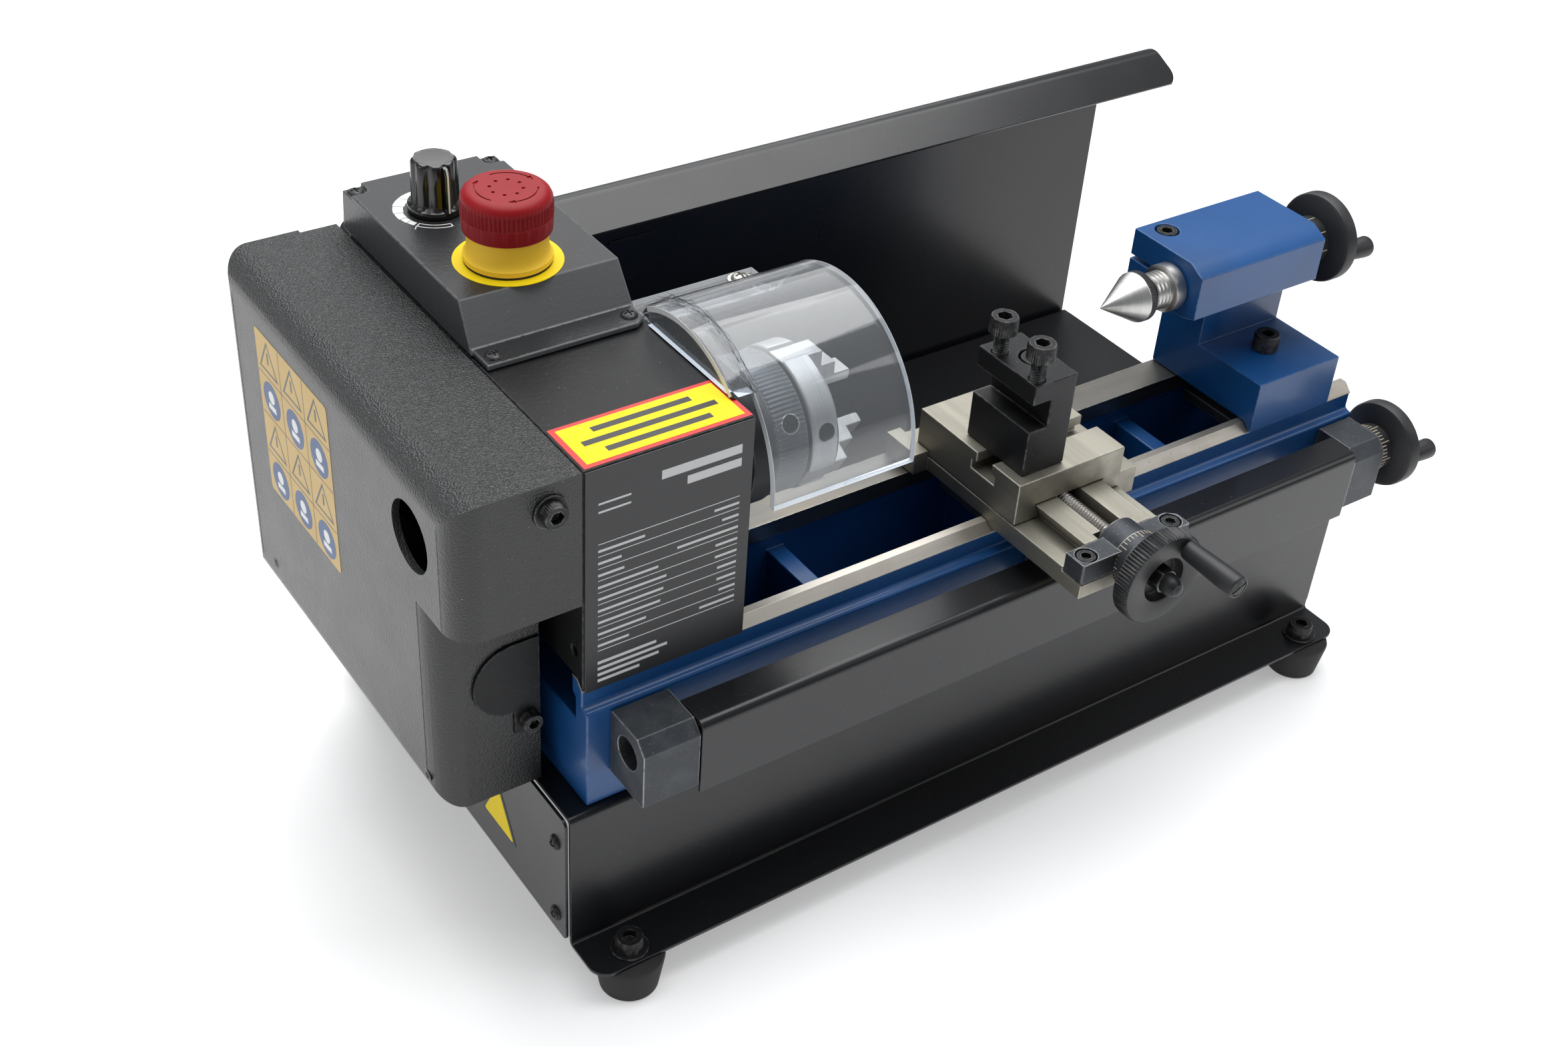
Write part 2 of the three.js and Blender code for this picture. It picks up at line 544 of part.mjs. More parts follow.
function crossCrank() {
  return turnedY([[0, -111.7], [3.5, -111.7], [4.1, -111], [4.1, -90], [3.4, -87.5], [0, -87.5]], 0, 0, 20);
}

function toolPost() {
  const { left, right, front, rear, bottom, top } = POST;
  return block(left, right, front, rear, bottom, top)
    .subtract(block(left - 1, 183.5, front - 1, rear + 1, 166, 176.8))
    .subtract(rodZ(3.3, bottom - 1, top + 1, 187.6, -18.7))
    .subtract(rodZ(5.5, top - 5, top + 1, 187.6, -18.7))
    .subtract(rodZ(2.9, 174, top + 1, 179.4, -10.2)).subtract(rodZ(2.9, 174, top + 1, 179.4, -29.6));
}

function socketScrew(headR, headH, shankR, shankL) {
  const body = turnedZ([[0, -shankL], [shankR, -shankL], [shankR, 0], [headR, 0], [headR, headH - 0.5],
    [headR - 0.5, headH], [0, headH]], 0, 0, 16);
  return body.subtract(rodZ(headR / 2, headH / 2, headH + 1, 0, 0, 6));
}

function toolPostBolt() {
  return socketScrew(5, 4.6, 3, 38.9).add(block(-6, 6, -5.6, 5.6, -38.9, -35.9));
}

add(carriage, "saddle", saddle(), bareSteel);
add(carriage, "cross_slide", crossSlide(), bareSteel);
add(carriage, "cross_nut", crossNut(), darkSteel);
add(carriage, "carriage_nut_bracket", carriageNut(), darkSteel);
add(carriage, "cross_screw", crossScrew(), bareSteel, [CROSS.x, 0, CROSS.z]);
add(carriage, "cross_bracket", crossBracket(), darkSteel);
add(carriage, "cross_handwheel", crossHandwheel(), oxide, [CROSS.x, 0, CROSS.z]);
add(carriage, "cross_crank", crossCrank(), oxide, [203, 0, 142.8]);
add(carriage, "tool_post", toolPost(), oxide);
add(carriage, "tool_post_bolt", toolPostBolt(), oxide, [187.6, -18.7, POST.top - 4.8]);
add(carriage, "tool_screw_rear", socketScrew(5, 6, 2.6, 16.5), oxide, [179.4, -10.2, 192.4]);
add(carriage, "tool_screw_front", socketScrew(5, 6, 2.6, 16.5), oxide, [179.4, -29.6, 192.4]);

// ---------- tailstock ----------
const tailstock = section("tailstock");

function tailCasting() {
  const { left, right, front, rear, bottom, top } = TAIL;
  const head = prismX([[front, bottom + 1.6], [front + 6, bottom], [rear, bottom], [rear, top], [-7.2, top],
    [front, top - 3.6]], left, right);
  const column = block(297, 340, 4.9, 26.3, BED_TOP + GAP, bottom + 0.5);
  const base = prismX([[-28.5, 122.4], [-27.9, 122.4], [-26.4, 123.6], [-24.4, BED_TOP + 0.4],
    [6, BED_TOP + 0.4], [6, 143.5], [-28.5, 143.5]], 297.5, 340.3);
  return head.add(column).add(base)
    .add(block(303, 335, -20.6, 12.2, 121, BED_TOP + 1))
    .subtract(rodX(7.8, left - 1, right + 1, 0, AXIS_Z, 20))
    .subtract(block(left - 1, 288, 0, rear + 1, 180.6, 182.2))
    .subtract(rodZ(4.6, 188, 200, 279.2, 15.5, 16)).subtract(rodZ(2.6, 170, 200, 279.2, 15.5, 16))
    .subtract(rodZ(3.4, 110, 150, 318.6, -9.6, 16));
}

function quill() {
  return turnedX([[4.9, 256.8], [7, 256.8], [7, 263.8], [8.9, 264.2], [8.9, 268.8], [7.5, 269.1], [7.5, 331],
    [4.4, 331], [4.4, 300], [2, 290], [4.9, 275]], 0, 0, 20);
}

function deadCentre() {
  return turnedX([[0, 234.7], [9.3, 250.7], [9.3, 254.3], [6, 254.6], [6, 256.5], [4.6, 256.5], [4.4, 273],
    [0, 273]], 0, 0, 20);
}

function tailHandwheel() {
  return handwheel(333.7, 9).add(turnedX([[0, 306], [4, 306], [4, 334], [4.2, 346], [0, 346]], 0, 0, 20));
}

function clampPlate() {
  return block(306, 332, -22.6, 14.4, 111.4, 115.6).subtract(rodZ(3.3, 100, 120, 318.6, -9.6, 16));
}

add(tailstock, "tailstock_casting", tailCasting(), castingBlue);
add(tailstock, "tailstock_quill", quill(), bareSteel, [0, 0, AXIS_Z]);
add(tailstock, "dead_centre", deadCentre(), bareSteel, [0, 0, AXIS_Z]);
add(tailstock, "tail_handwheel", tailHandwheel(), oxide, [0, 0, AXIS_Z]);
add(tailstock, "tail_crank", crank(10), oxide, [350.5, -12.7, AXIS_Z - 1.4]);
add(tailstock, "quill_clamp_screw", socketScrew(4.2, 4.4, 2.3, 14), oxide, [279.2, 15.5, 188.2]);
add(tailstock, "tailstock_lock_bolt", socketScrew(5, 6.6, 2.9, 32), oxide, [318.6, -9.6, 143.7]);
add(tailstock, "tailstock_clamp_plate", clampPlate(), darkSteel);

// ---------- the group's own frame: middle of the box across, floor at z = 0 ----------
const leftmost = COVER.left, rightmost = 367.4 + 11.6;
const frontmost = -111.7, rearmost = FOOT.ys[1] + FOOT.topR;
for (const child of group.children)
  child.position.set(-(leftmost + rightmost) / 2, -(frontmost + rearmost) / 2, 0);

export default group;
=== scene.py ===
import math

import bmesh
import bpy
from mathutils import Matrix, Vector


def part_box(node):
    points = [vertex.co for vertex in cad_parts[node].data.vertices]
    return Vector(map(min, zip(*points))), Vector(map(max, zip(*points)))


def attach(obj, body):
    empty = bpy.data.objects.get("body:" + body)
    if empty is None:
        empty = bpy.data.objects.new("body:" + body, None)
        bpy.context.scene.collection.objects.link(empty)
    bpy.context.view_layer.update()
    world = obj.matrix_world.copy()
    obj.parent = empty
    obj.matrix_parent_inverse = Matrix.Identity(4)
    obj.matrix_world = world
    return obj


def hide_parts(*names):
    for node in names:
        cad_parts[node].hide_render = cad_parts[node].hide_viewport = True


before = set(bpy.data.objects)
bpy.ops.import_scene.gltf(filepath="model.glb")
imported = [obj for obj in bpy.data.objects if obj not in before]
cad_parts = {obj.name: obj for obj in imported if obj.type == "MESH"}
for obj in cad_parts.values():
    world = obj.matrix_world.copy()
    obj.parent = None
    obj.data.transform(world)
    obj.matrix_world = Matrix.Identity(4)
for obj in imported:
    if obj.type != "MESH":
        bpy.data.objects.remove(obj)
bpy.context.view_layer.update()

MM = 0.001
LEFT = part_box("base_cabinet")[0].x
AXIS_Y = sum(corner.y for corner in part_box("spindle")) / 2
AXIS = sum(corner.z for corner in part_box("spindle")) / 2 / MM
TAU = 2 * math.pi
LEAD = -41, 102.9  # leadscrew axis, Y and Z
CROSS_AT = 195.7, 132  # cross screw axis, X and Z
MOTOR = 84, 160  # motor axis, Y and Z
GLAND = 17.3, 196.1  # cable gland, X and Z
STOP = 33.5, 64  # E-stop, X and Y
DIAL = 28.5, 104.3  # speed knob, X and Y
HINGE = 55, 189.6  # guard hinge, Y and Z
GUARD_AT = 11.4, 173.8  # middle of the guard's round part, Y and Z
BED = 7.8, 355  # ends of the bed, X
BOX_TOP = 222
COVER_WALL = 2.5
WHEEL_R = 17.4
SPINDLE_PULLEY_R, MOTOR_PULLEY_R = 19.5, 10


def at(x, y, z):
    return Vector((LEFT + x * MM, AXIS_Y + y * MM, z * MM))


# ---------- shapes: (vertices, faces) in millimetres ----------
AXES = {"X": (1, 2, 0), "Y": (0, 2, 1), "Z": (0, 1, 2)}


def place(axis, u, v, w):
    out = [0, 0, 0]
    for index, value in zip(AXES[axis], (u, v, w)):
        out[index] = value
    return out


def prism(axis, outline, a, b):
    n = len(outline)
    verts = [place(axis, u, v, w) for w in (a, b) for u, v in outline]
    faces = [list(range(n)), list(range(n, 2 * n))]
    faces += [[i, (i + 1) % n, n + (i + 1) % n, n + i] for i in range(n)]
    return verts, faces


def rect(u0, u1, v0, v1):
    return [(u0, v0), (u1, v0), (u1, v1), (u0, v1)]


def block(x0, x1, y0, y1, z0, z1):
    return prism("Z", rect(x0, x1, y0, y1), z0, z1)


def frustum(low, high, z0, z1):
    verts = [(x, y, z) for edges, z in ((low, z0), (high, z1)) for x, y in rect(*edges)]
    sides = [[i, (i + 1) % 4, 4 + (i + 1) % 4, 4 + i] for i in range(4)]
    return verts, [[0, 1, 2, 3], [4, 5, 6, 7]] + sides


def turned(axis, u, v, profile, n=72, wave=None):
    """A solid of revolution from (radius, height) pairs; wave(i, r, h, t) gives the radius at an angle t."""
    closed = not (profile[0][0] == 0 and profile[-1][0] == 0)
    verts, faces = [], []
    for i, (r, h) in enumerate(profile):
        for k in range(n):
            t = TAU * k / n
            radius = wave(i, r, h, t) if wave else r
            verts.append(place(axis, u + radius * math.cos(t), v + radius * math.sin(t), h))
    rows = len(profile)
    for i in range(rows if closed else rows - 1):
        j = (i + 1) % rows
        for k in range(n):
            m = (k + 1) % n
            faces.append([i * n + k, i * n + m, j * n + m, j * n + k])
    return verts, faces


def rod(axis, u, v, r, a, b, n=48):
    return turned(axis, u, v, rect(0, r, a, b), n)


def joined(shapes):
    verts, faces = [], []
    for v, f in shapes:
        faces += [[i + len(verts) for i in face] for face in f]
        verts += list(v)
    return verts, faces


def spun(shape, axis, u, v, degrees):
    """The shape turned about an axis line through (u, v)."""
    a, b, _ = AXES[axis]
    c, s = math.cos(math.radians(degrees)), math.sin(math.radians(degrees))
    verts = []
    for p in shape[0]:
        q = list(p)
        q[a] = u + (p[a] - u) * c - (p[b] - v) * s
        q[b] = v + (p[a] - u) * s + (p[b] - v) * c
        verts.append(q)
    return verts, shape[1]


def swept(centre, start, end, steps):
    """Points on the short arc round a centre between two arms."""
    a = math.atan2(start.y, start.x)
    turn = (math.atan2(end.y, end.x) - a + math.pi) % TAU - math.pi
    return [centre + start.length * Vector((math.cos(a + turn * k / steps), math.sin(a + turn * k / steps)))
            for k in range(steps + 1)]


def arc_at(u, v, r0, r1, a, b, n=24):
    """The outline of a ring's part between two angles."""
    ring = [math.radians(a + (b - a) * k / n) for k in range(n + 1)]
    return [(u + r * math.cos(t), v + r * math.sin(t)) for r, turn in ((r0, ring), (r1, ring[::-1])) for t in turn]


def rounded(points, steps=6):
    """An outline with rounded corners from (u, v, radius) triples."""
    out = []
    for i, (u, v, r) in enumerate(points):
        if not r:
            out.append((u, v))
            continue
        p, before, after = Vector((u, v)), Vector(points[i - 1][:2]), Vector(points[(i + 1) % len(points)][:2])
        a, b = (before - p).normalized(), (after - p).normalized()
        half = math.acos(max(-1, min(1, a.dot(b)))) / 2
        centre = p + (a + b).normalized() * (r / math.sin(half))
        start, end = p + a * (r / math.tan(half)) - centre, p + b * (r / math.tan(half)) - centre
        out += [tuple(q) for q in swept(centre, start, end, steps)]
    return out


def bent_sheet(path, thickness, radius=2.0, steps=6):
    """The outline of folded sheet metal whose middle follows a path."""
    line = [Vector(path[0])]
    for before, p, after in zip(path, path[1:], path[2:]):
        before, p, after = Vector(before), Vector(p), Vector(after)
        a, b = (before - p).normalized(), (after - p).normalized()
        half = math.acos(max(-1, min(1, a.dot(b)))) / 2
        centre = p + (a + b).normalized() * (radius / math.sin(half))
        start, end = p + a * (radius / math.tan(half)) - centre, p + b * (radius / math.tan(half)) - centre
        line += swept(centre, start, end, steps)
    line.append(Vector(path[-1]))
    sides = ([], [])
    for i, p in enumerate(line):
        d = (line[min(i + 1, len(line) - 1)] - line[max(i - 1, 0)]).normalized()
        normal = Vector((-d.y, d.x)) * (thickness / 2)
        sides[0].append(tuple(p + normal))
        sides[1].append(tuple(p - normal))
    return sides[0] + sides[1][::-1]


def triangle_ring(axis, u, v, r, inner, a, b):
    corners = [(math.sin(TAU * k / 3), math.cos(TAU * k / 3)) for k in range(3)]
    flat = [(u + s * 1.05 * x, v - r * 0.2 + s * y) for s in (r, inner) for x, y in corners]
    verts = [place(axis, *p, w) for w in (a, b) for p in flat]
    faces = []
    for i in range(3):
        j = (i + 1) % 3
        faces += [[i + s, j + s, j + 3 + s, i + 3 + s] for s in (0, 6)]
        faces += [[i + s, j + s, j + s + 6, i + s + 6] for s in (0, 3)]
    return verts, faces


def corner(x, y, r, sx, sy):
    """What a rounded corner takes away; sx and sy point into the plate."""
    quarter = [k / 8 * math.pi / 2 for k in range(9)]
    arc = [(x + sx * r * (1 - math.sin(t)), y + sy * r * (1 - math.cos(t))) for t in quarter]
    return [(x - sx, y - sy), (x + sx * r, y - sy)] + arc + [(x - sx, y + sy * r)]


# ---------- materials ----------
class Paint:
    """A Principled material and short ways to build the nodes that drive it."""

    def __init__(self, name, color, roughness, metallic=0.0, coat=0.0, specular=0.5):
        self.material = bpy.data.materials.new(name)
        self.material.use_nodes = True
        self.tree = self.material.node_tree
        self.shader = self.tree.nodes["Principled BSDF"]
        self.shader.inputs["Metallic"].default_value = metallic
        self.shader.inputs["Coat Weight"].default_value = coat
        self.shader.inputs["Coat Roughness"].default_value = 0.15
        self.shader.inputs["Specular IOR Level"].default_value = specular
        self.shader.inputs["Roughness"].default_value = roughness
        self.color, self.roughness, self.normal = (*color, 1), roughness, None
        self.shader.inputs["Base Color"].default_value = self.color
        self.where = self.add("ShaderNodeTexCoord").outputs["Object"]

    def add(self, kind, **settings):
        node = self.tree.nodes.new(kind)
        for key, value in settings.items():
            setattr(node, key, value)
        return node

    def feed(self, socket, value):
        if isinstance(value, bpy.types.NodeSocket):
            self.tree.links.new(value, socket)
        else:
            socket.default_value = value

    def math(self, operation, a, b=0.5, clamp=False):
        node = self.add("ShaderNodeMath", operation=operation, use_clamp=clamp)
        self.feed(node.inputs[0], a)
        self.feed(node.inputs[1], b)
        return node.outputs[0]

    def stretched(self, factors):
        node = self.add("ShaderNodeMapping")
        self.feed(node.inputs["Vector"], self.where)
        node.inputs["Scale"].default_value = factors
        return node.outputs[0]

    def noise(self, scale, detail, factors=None):
        node = self.add("ShaderNodeTexNoise")
        self.feed(node.inputs["Vector"], self.stretched(factors) if factors else self.where)
        node.inputs["Scale"].default_value = scale
        node.inputs["Detail"].default_value = detail
        node.inputs["Roughness"].default_value = 0.55
        return node.outputs["Fac"]

    def cells(self, scale, factors=None):
        node = self.add("ShaderNodeTexVoronoi")
        self.feed(node.inputs["Vector"], self.stretched(factors) if factors else self.where)
        node.inputs["Scale"].default_value = scale
        return node.outputs["Distance"]

    def ramp(self, value, low, high, a=0.0, b=1.0):
        node = self.add("ShaderNodeMapRange")
        self.feed(node.inputs["Value"], value)
        for key, number in (("From Min", low), ("From Max", high), ("To Min", a), ("To Max", b)):
            node.inputs[key].default_value = number
        return node.outputs[0]

    def tint(self, mask, color):
        node = self.add("ShaderNodeMix", data_type="RGBA")
        self.feed(node.inputs[0], mask)
        self.feed(node.inputs[6], self.color)
        node.inputs[7].default_value = (*color, 1)
        self.color = node.outputs[2]

    def mottle(self, scale, detail, low, high, amount, color):
        self.tint(self.ramp(self.noise(scale, detail), low, high, 0, amount), color)

    # Lighter colour along the edges: wear on most materials, a painted highlight on the blue paint.
    def edge_wear_and_highlight(self, radius, amount, color):
        self.tint(self.math("MULTIPLY", self.edges(radius), amount), color)

    def rougher(self, mask, amount):
        self.roughness = self.math("ADD", self.roughness, self.math("MULTIPLY", mask, amount), clamp=True)

    def bump(self, height, strength, distance=0.0002):
        node = self.add("ShaderNodeBump")
        node.inputs["Strength"].default_value = strength
        node.inputs["Distance"].default_value = distance
        self.feed(node.inputs["Height"], height)
        if self.normal:
            self.feed(node.inputs["Normal"], self.normal)
        self.normal = node.outputs[0]

    def edges(self, radius, sharpness=1.0):
        """White along convex and concave edges, broken up by noise."""
        bevel = self.add("ShaderNodeBevel", samples=4)
        bevel.inputs["Radius"].default_value = radius
        geometry = self.add("ShaderNodeNewGeometry")
        dot = self.add("ShaderNodeVectorMath", operation="DOT_PRODUCT")
        self.feed(dot.inputs[0], bevel.outputs[0])
        self.feed(dot.inputs[1], geometry.outputs["Normal"])
        bend = self.ramp(dot.outputs["Value"], 0.995, 0.9)
        broken = self.ramp(self.noise(420, 5), 0.42 / sharpness, 0.62 / sharpness)
        return self.math("MULTIPLY", bend, broken, clamp=True)

    def facing(self, axis, low=0.6, high=0.8):
        geometry = self.add("ShaderNodeNewGeometry")
        split = self.add("ShaderNodeSeparateXYZ")
        self.feed(split.inputs[0], geometry.outputs["Normal"])
        value = split.outputs[axis.strip("-")]
        if axis.startswith("-"):
            value = self.math("MULTIPLY", value, -1.0)
        return self.ramp(value, low, high)

    def dust(self, amount=0.4, color=(0.35, 0.35, 0.34)):
        specks = self.ramp(self.noise(1500, 1), 0.76, 0.8)
        self.tint(self.math("MULTIPLY", specks, amount), color)

    def done(self):
        self.feed(self.shader.inputs["Base Color"], self.color)
        self.feed(self.shader.inputs["Roughness"], self.roughness)
        if self.normal:
            self.feed(self.shader.inputs["Normal"], self.normal)
        return self.material


def make_gloss_black():
    p = Paint("gloss_black", (0.0085, 0.009, 0.0105), 0.23, coat=0.1, specular=0.42)
    p.rougher(p.noise(35, 4), 0.12)
    p.dust(0.35)
    p.edge_wear_and_highlight(0.0009, 0.25, (0.10, 0.105, 0.11))
    p.bump(p.noise(650, 2), 0.05)
    return p.done()


def make_satin_black():
    p = Paint("satin_black", (0.008, 0.0085, 0.0093), 0.36, specular=0.24)
    p.rougher(p.noise(60, 4), 0.14)
    p.dust(0.5)
    p.edge_wear_and_highlight(0.0011, 0.55, (0.14, 0.145, 0.15))
    p.bump(p.noise(520, 3), 0.35, 0.00025)
    return p.done()


def make_box_black():
    p = Paint("box_black", (0.02, 0.021, 0.023), 0.28, specular=0.34)
    # Painted light: faces turned to -X are tinted lighter than the rest of the box.
    p.tint(p.facing("-X", 0.3, 0.6), (0.05, 0.052, 0.055))
    # Painted reflection: front faces are tinted grey as if reflecting the lamps, with lighter patches from noise on
    # top. The same front mask also makes them rougher.
    front = p.facing("-Y", 0.35, 0.6)
    patchy_front_sheen = p.math("MULTIPLY", front, p.ramp(p.noise(1400, 6, factors=(0.35, 1, 1)), 0.35, 0.7))
    p.tint(p.math("MULTIPLY", front, 0.8), (0.15, 0.155, 0.158))
    p.tint(p.math("MULTIPLY", patchy_front_sheen, 0.3), (0.13, 0.137, 0.14))
    p.rougher(front, 0.2)
    p.rougher(p.noise(60, 4), 0.08)
    p.dust(0.7)
    p.tint(p.edges(0.0009, 1.3), (0.24, 0.245, 0.25))
    p.bump(p.noise(750, 4), 0.35, 0.0003)
    return p.done()


def make_grained_black():
    p = Paint("grained_black", (0.016, 0.0165, 0.017), 0.27)
    top = p.facing("Z", 0.2, 0.7)
    # Painted light: top faces are tinted lighter. The same top mask also makes the grain bump stronger there.
    p.tint(top, (0.034, 0.035, 0.036))
    p.rougher(p.noise(80, 4), 0.12)
    p.dust(0.6)
    grain = p.math("ADD", p.cells(1500), p.math("MULTIPLY", p.noise(1150, 4), 1.1))
    p.bump(p.math("MULTIPLY", grain, p.ramp(top, 0, 1, 0.3, 1.0)), 0.8, 0.0005)
    return p.done()


def make_blue_paint():
    p = Paint("blue_paint", (0.006, 0.07, 0.235), 0.3, coat=0.3, specular=0.4)
    p.mottle(22, 4, 0.45, 0.75, 0.5, (0.004, 0.034, 0.105))
    p.rougher(p.noise(50, 5), 0.16)
    # Painted highlight: lighter blue along the edges.
    p.edge_wear_and_highlight(0.0009, 0.7, (0.07, 0.2, 0.42))
    p.dust(0.3, (0.12, 0.2, 0.35))
    p.bump(p.noise(70, 3), 0.1, 0.0008)
    p.bump(p.noise(480, 3), 0.12, 0.0002)
    return p.done()


def make_ground_steel(name, along, color=(0.54, 0.51, 0.46), rough=0.3):
    p = Paint(name, color, rough, metallic=1.0)
    streaks = p.noise(160, 5, factors=along)
    p.tint(p.ramp(streaks, 0.4, 0.75, 0, 0.55), tuple(c * 0.55 for c in color))
    p.mottle(28, 5, 0.52, 0.72, 0.5, (0.30, 0.25, 0.19))
    p.mottle(900, 3, 0.68, 0.74, 0.6, (0.12, 0.10, 0.085))
    p.rougher(streaks, 0.22)
    p.rougher(p.noise(45, 4), 0.12)
    p.bump(streaks, 0.16, 0.0001)
    p.edge_wear_and_highlight(0.0007, 0.6, (0.75, 0.73, 0.68))
    return p.done()


def make_turned_steel(name, axis, color=(0.6, 0.59, 0.57), rough=0.22):
    p = Paint(name, color, rough, metallic=1.0)
    factors = {"X": (1, 0.02, 0.02), "Y": (0.02, 1, 0.02)}[axis]
    rings = p.noise(1600, 3, factors=factors)
    p.tint(p.ramp(rings, 0.35, 0.7, 0, 0.4), tuple(c * 0.6 for c in color))
    p.mottle(60, 5, 0.55, 0.75, 0.45, tuple(c * 0.5 for c in color))
    p.rougher(p.noise(120, 5), 0.2)
    p.bump(rings, 0.22, 0.00008)
    return p.done()


def make_gunmetal():
    p = Paint("gunmetal", (0.045, 0.05, 0.058), 0.42, metallic=0.55)
    mottle = p.noise(110, 6)
    p.tint(p.ramp(mottle, 0.45, 0.7, 0, 0.6), (0.085, 0.092, 0.1))
    p.mottle(900, 5, 0.62, 0.72, 0.5, (0.2, 0.21, 0.22))
    p.tint(p.ramp(p.cells(260, factors=(1, 0.25, 1)), 0.02, 0.008, 0, 0.35), (0.3, 0.31, 0.31))
    p.tint(p.edges(0.0006, 1.4), (0.55, 0.56, 0.55))
    p.rougher(mottle, 0.15)
    p.bump(p.noise(700, 4), 0.18, 0.0001)
    return p.done()


def make_oxide():
    p = Paint("black_oxide", (0.016, 0.0165, 0.018), 0.36, metallic=0.5)
    p.mottle(90, 6, 0.5, 0.72, 0.5, (0.035, 0.036, 0.038))
    p.edge_wear_and_highlight(0.0008, 0.8, (0.24, 0.24, 0.235))
    p.dust(0.4)
    p.rougher(p.noise(70, 5), 0.16)
    p.bump(p.noise(800, 4), 0.14, 0.0001)
    return p.done()


def make_plain(name, color, rough, grain=500, depth=0.1, spots=0.25, coat=0.0, specular=0.5):
    p = Paint(name, color, rough, coat=coat, specular=specular)
    p.mottle(70, 5, 0.45, 0.75, spots, tuple(c * 0.72 for c in color))
    p.rougher(p.noise(90, 4), 0.12)
    p.bump(p.noise(grain, 3), depth, 0.00015)
    return p.done()


def make_clear():
    p = Paint("clear_guard", (0.9, 0.93, 0.96), 0.03, coat=1.0)
    p.shader.inputs["Transmission Weight"].default_value = 0.95
    p.shader.inputs["IOR"].default_value = 1.08
    p.shader.inputs["Coat Roughness"].default_value = 0.06
    p.rougher(p.ramp(p.noise(240, 5, factors=(0.15, 1, 1)), 0.6, 0.72), 0.12)
    p.bump(p.noise(14, 2), 0.05, 0.0008)
    material = p.done()
    light = p.add("ShaderNodeLightPath")
    through = p.add("ShaderNodeBsdfTransparent")
    through.inputs["Color"].default_value = (0.9, 0.92, 0.94, 1)
    mixed = p.add("ShaderNodeMixShader")
    lamp = p.math("MAXIMUM", light.outputs["Is Shadow Ray"], light.outputs["Is Diffuse Ray"])
    p.feed(mixed.inputs[0], lamp)
    p.feed(mixed.inputs[1], p.shader.outputs[0])
    p.feed(mixed.inputs[2], through.outputs[0])
    p.feed(p.tree.nodes["Material Output"].inputs["Surface"], mixed.outputs[0])
    return material


def on(slot, look):
    """A look's material in another slot."""
    return slot, look[1]


# A look is the slot that a piece fills and its material.
GLOSS = "gloss_black", make_gloss_black()
SATIN = "satin_black", make_satin_black()
BOX = "satin_black", make_box_black()
GRAIN = "moulded_black", make_grained_black()
BLUE = "blue_paint", make_blue_paint()
GUNMETAL = "dark_steel", make_gunmetal()
OXIDE = "black_oxide", make_oxide()
CLEAR = "clear_plastic", make_clear()
WAY = "ground_steel", make_ground_steel("ground_ways", (0.06, 1, 1))
# Painted reflection: a darker copy of the way steel for the rear way, which reflects the dark splash guard.
SHADED_REAR_WAY = "ground_steel", make_ground_steel("ground_way_rear_shaded", (0.06, 1, 1), (0.2, 0.195, 0.18), 0.24)
CROSS = "ground_steel", make_ground_steel("ground_slide", (1, 0.08, 1), (0.36, 0.345, 0.295), 0.34)
TURNED = "ground_steel", make_turned_steel("turned_steel", "X")
CHUCK = "ground_steel", make_turned_steel("chuck_steel", "X", (0.36, 0.36, 0.355), 0.34)
THREAD = "ground_steel", make_turned_steel("screw_steel", "Y", (0.42, 0.4, 0.37), 0.3)
ZINC = "ground_steel", make_turned_steel("bright_screw", "X", (0.62, 0.6, 0.56), 0.25)
CENTRE = "ground_steel", make_turned_steel("centre_steel", "X", (0.62, 0.62, 0.6), 0.26)
# Painted highlight: pale colour for strips where light catches the clear guard's edges.
GUARD_EDGE_GLINT = "clear_plastic", make_plain("guard_edge", (0.78, 0.81, 0.84), 0.25, 500, 0.05, spots=0.2)
RUBBER = "black_rubber", make_plain("rubber_black", (0.012, 0.012, 0.0125), 0.62, 700, 0.25)
KNOB = "moulded_black", make_plain("knob_black", (0.008, 0.008, 0.009), 0.12, 300, 0.05, coat=0.3)
BAKELITE = "black_oxide", make_plain("wheel_black", (0.014, 0.0145, 0.016), 0.42, 600, 0.15)
LINES = "black_oxide", make_plain("wheel_marks", (0.5, 0.44, 0.33), 0.45, 400, 0.05)
RED = "red_plastic", make_plain("button_red", (0.26, 0.002, 0.006), 0.42, 900, 0.15, spots=0.3, specular=0.25)
YELLOW = "yellow_plastic", make_plain("collar_yellow", (0.98, 0.62, 0.04), 0.4, 600, 0.08, spots=0.05,
                                      specular=0.3)
DISC = "yellow_plastic", make_plain("disc_yellow", (0.84, 0.64, 0.008), 0.45, 400, 0.03, spots=0.08, specular=0.2)
AMBER = "yellow_plastic", make_plain("label_amber", (0.56, 0.37, 0.1), 0.4, 400, 0.05, spots=0.12)
LABEL_RED = "yellow_plastic", make_plain("label_red", (0.6, 0.02, 0.02), 0.4, 400, 0.05, spots=0.1)
LABEL_BLUE = "yellow_plastic", make_plain("label_blue", (0.04, 0.09, 0.22), 0.4, 400, 0.05, spots=0.1)
PLATE = "yellow_plastic", make_plain("plate_black", (0.014, 0.0145, 0.016), 0.32, 300, 0.04)
TEXT = "satin_black", make_plain("plate_text", (0.56, 0.565, 0.57), 0.45, 400, 0.03, spots=0.08)
WHITE = "satin_black", make_plain("print_white", (0.75, 0.76, 0.76), 0.45, 400, 0.03, spots=0.08)


# ---------- pieces ----------
def mesh_from(shape, name):
    mesh = bpy.data.meshes.new(name)
    mesh.from_pydata([at(*v) for v in shape[0]], [], shape[1])
    bm = bmesh.new()
    bm.from_mesh(mesh)
    bmesh.ops.remove_doubles(bm, verts=bm.verts, dist=2e-7)
    bmesh.ops.dissolve_degenerate(bm, edges=bm.edges, dist=1e-7)
    bmesh.ops.recalc_face_normals(bm, faces=bm.faces)
    bm.to_mesh(mesh)
    bm.free()
    return mesh


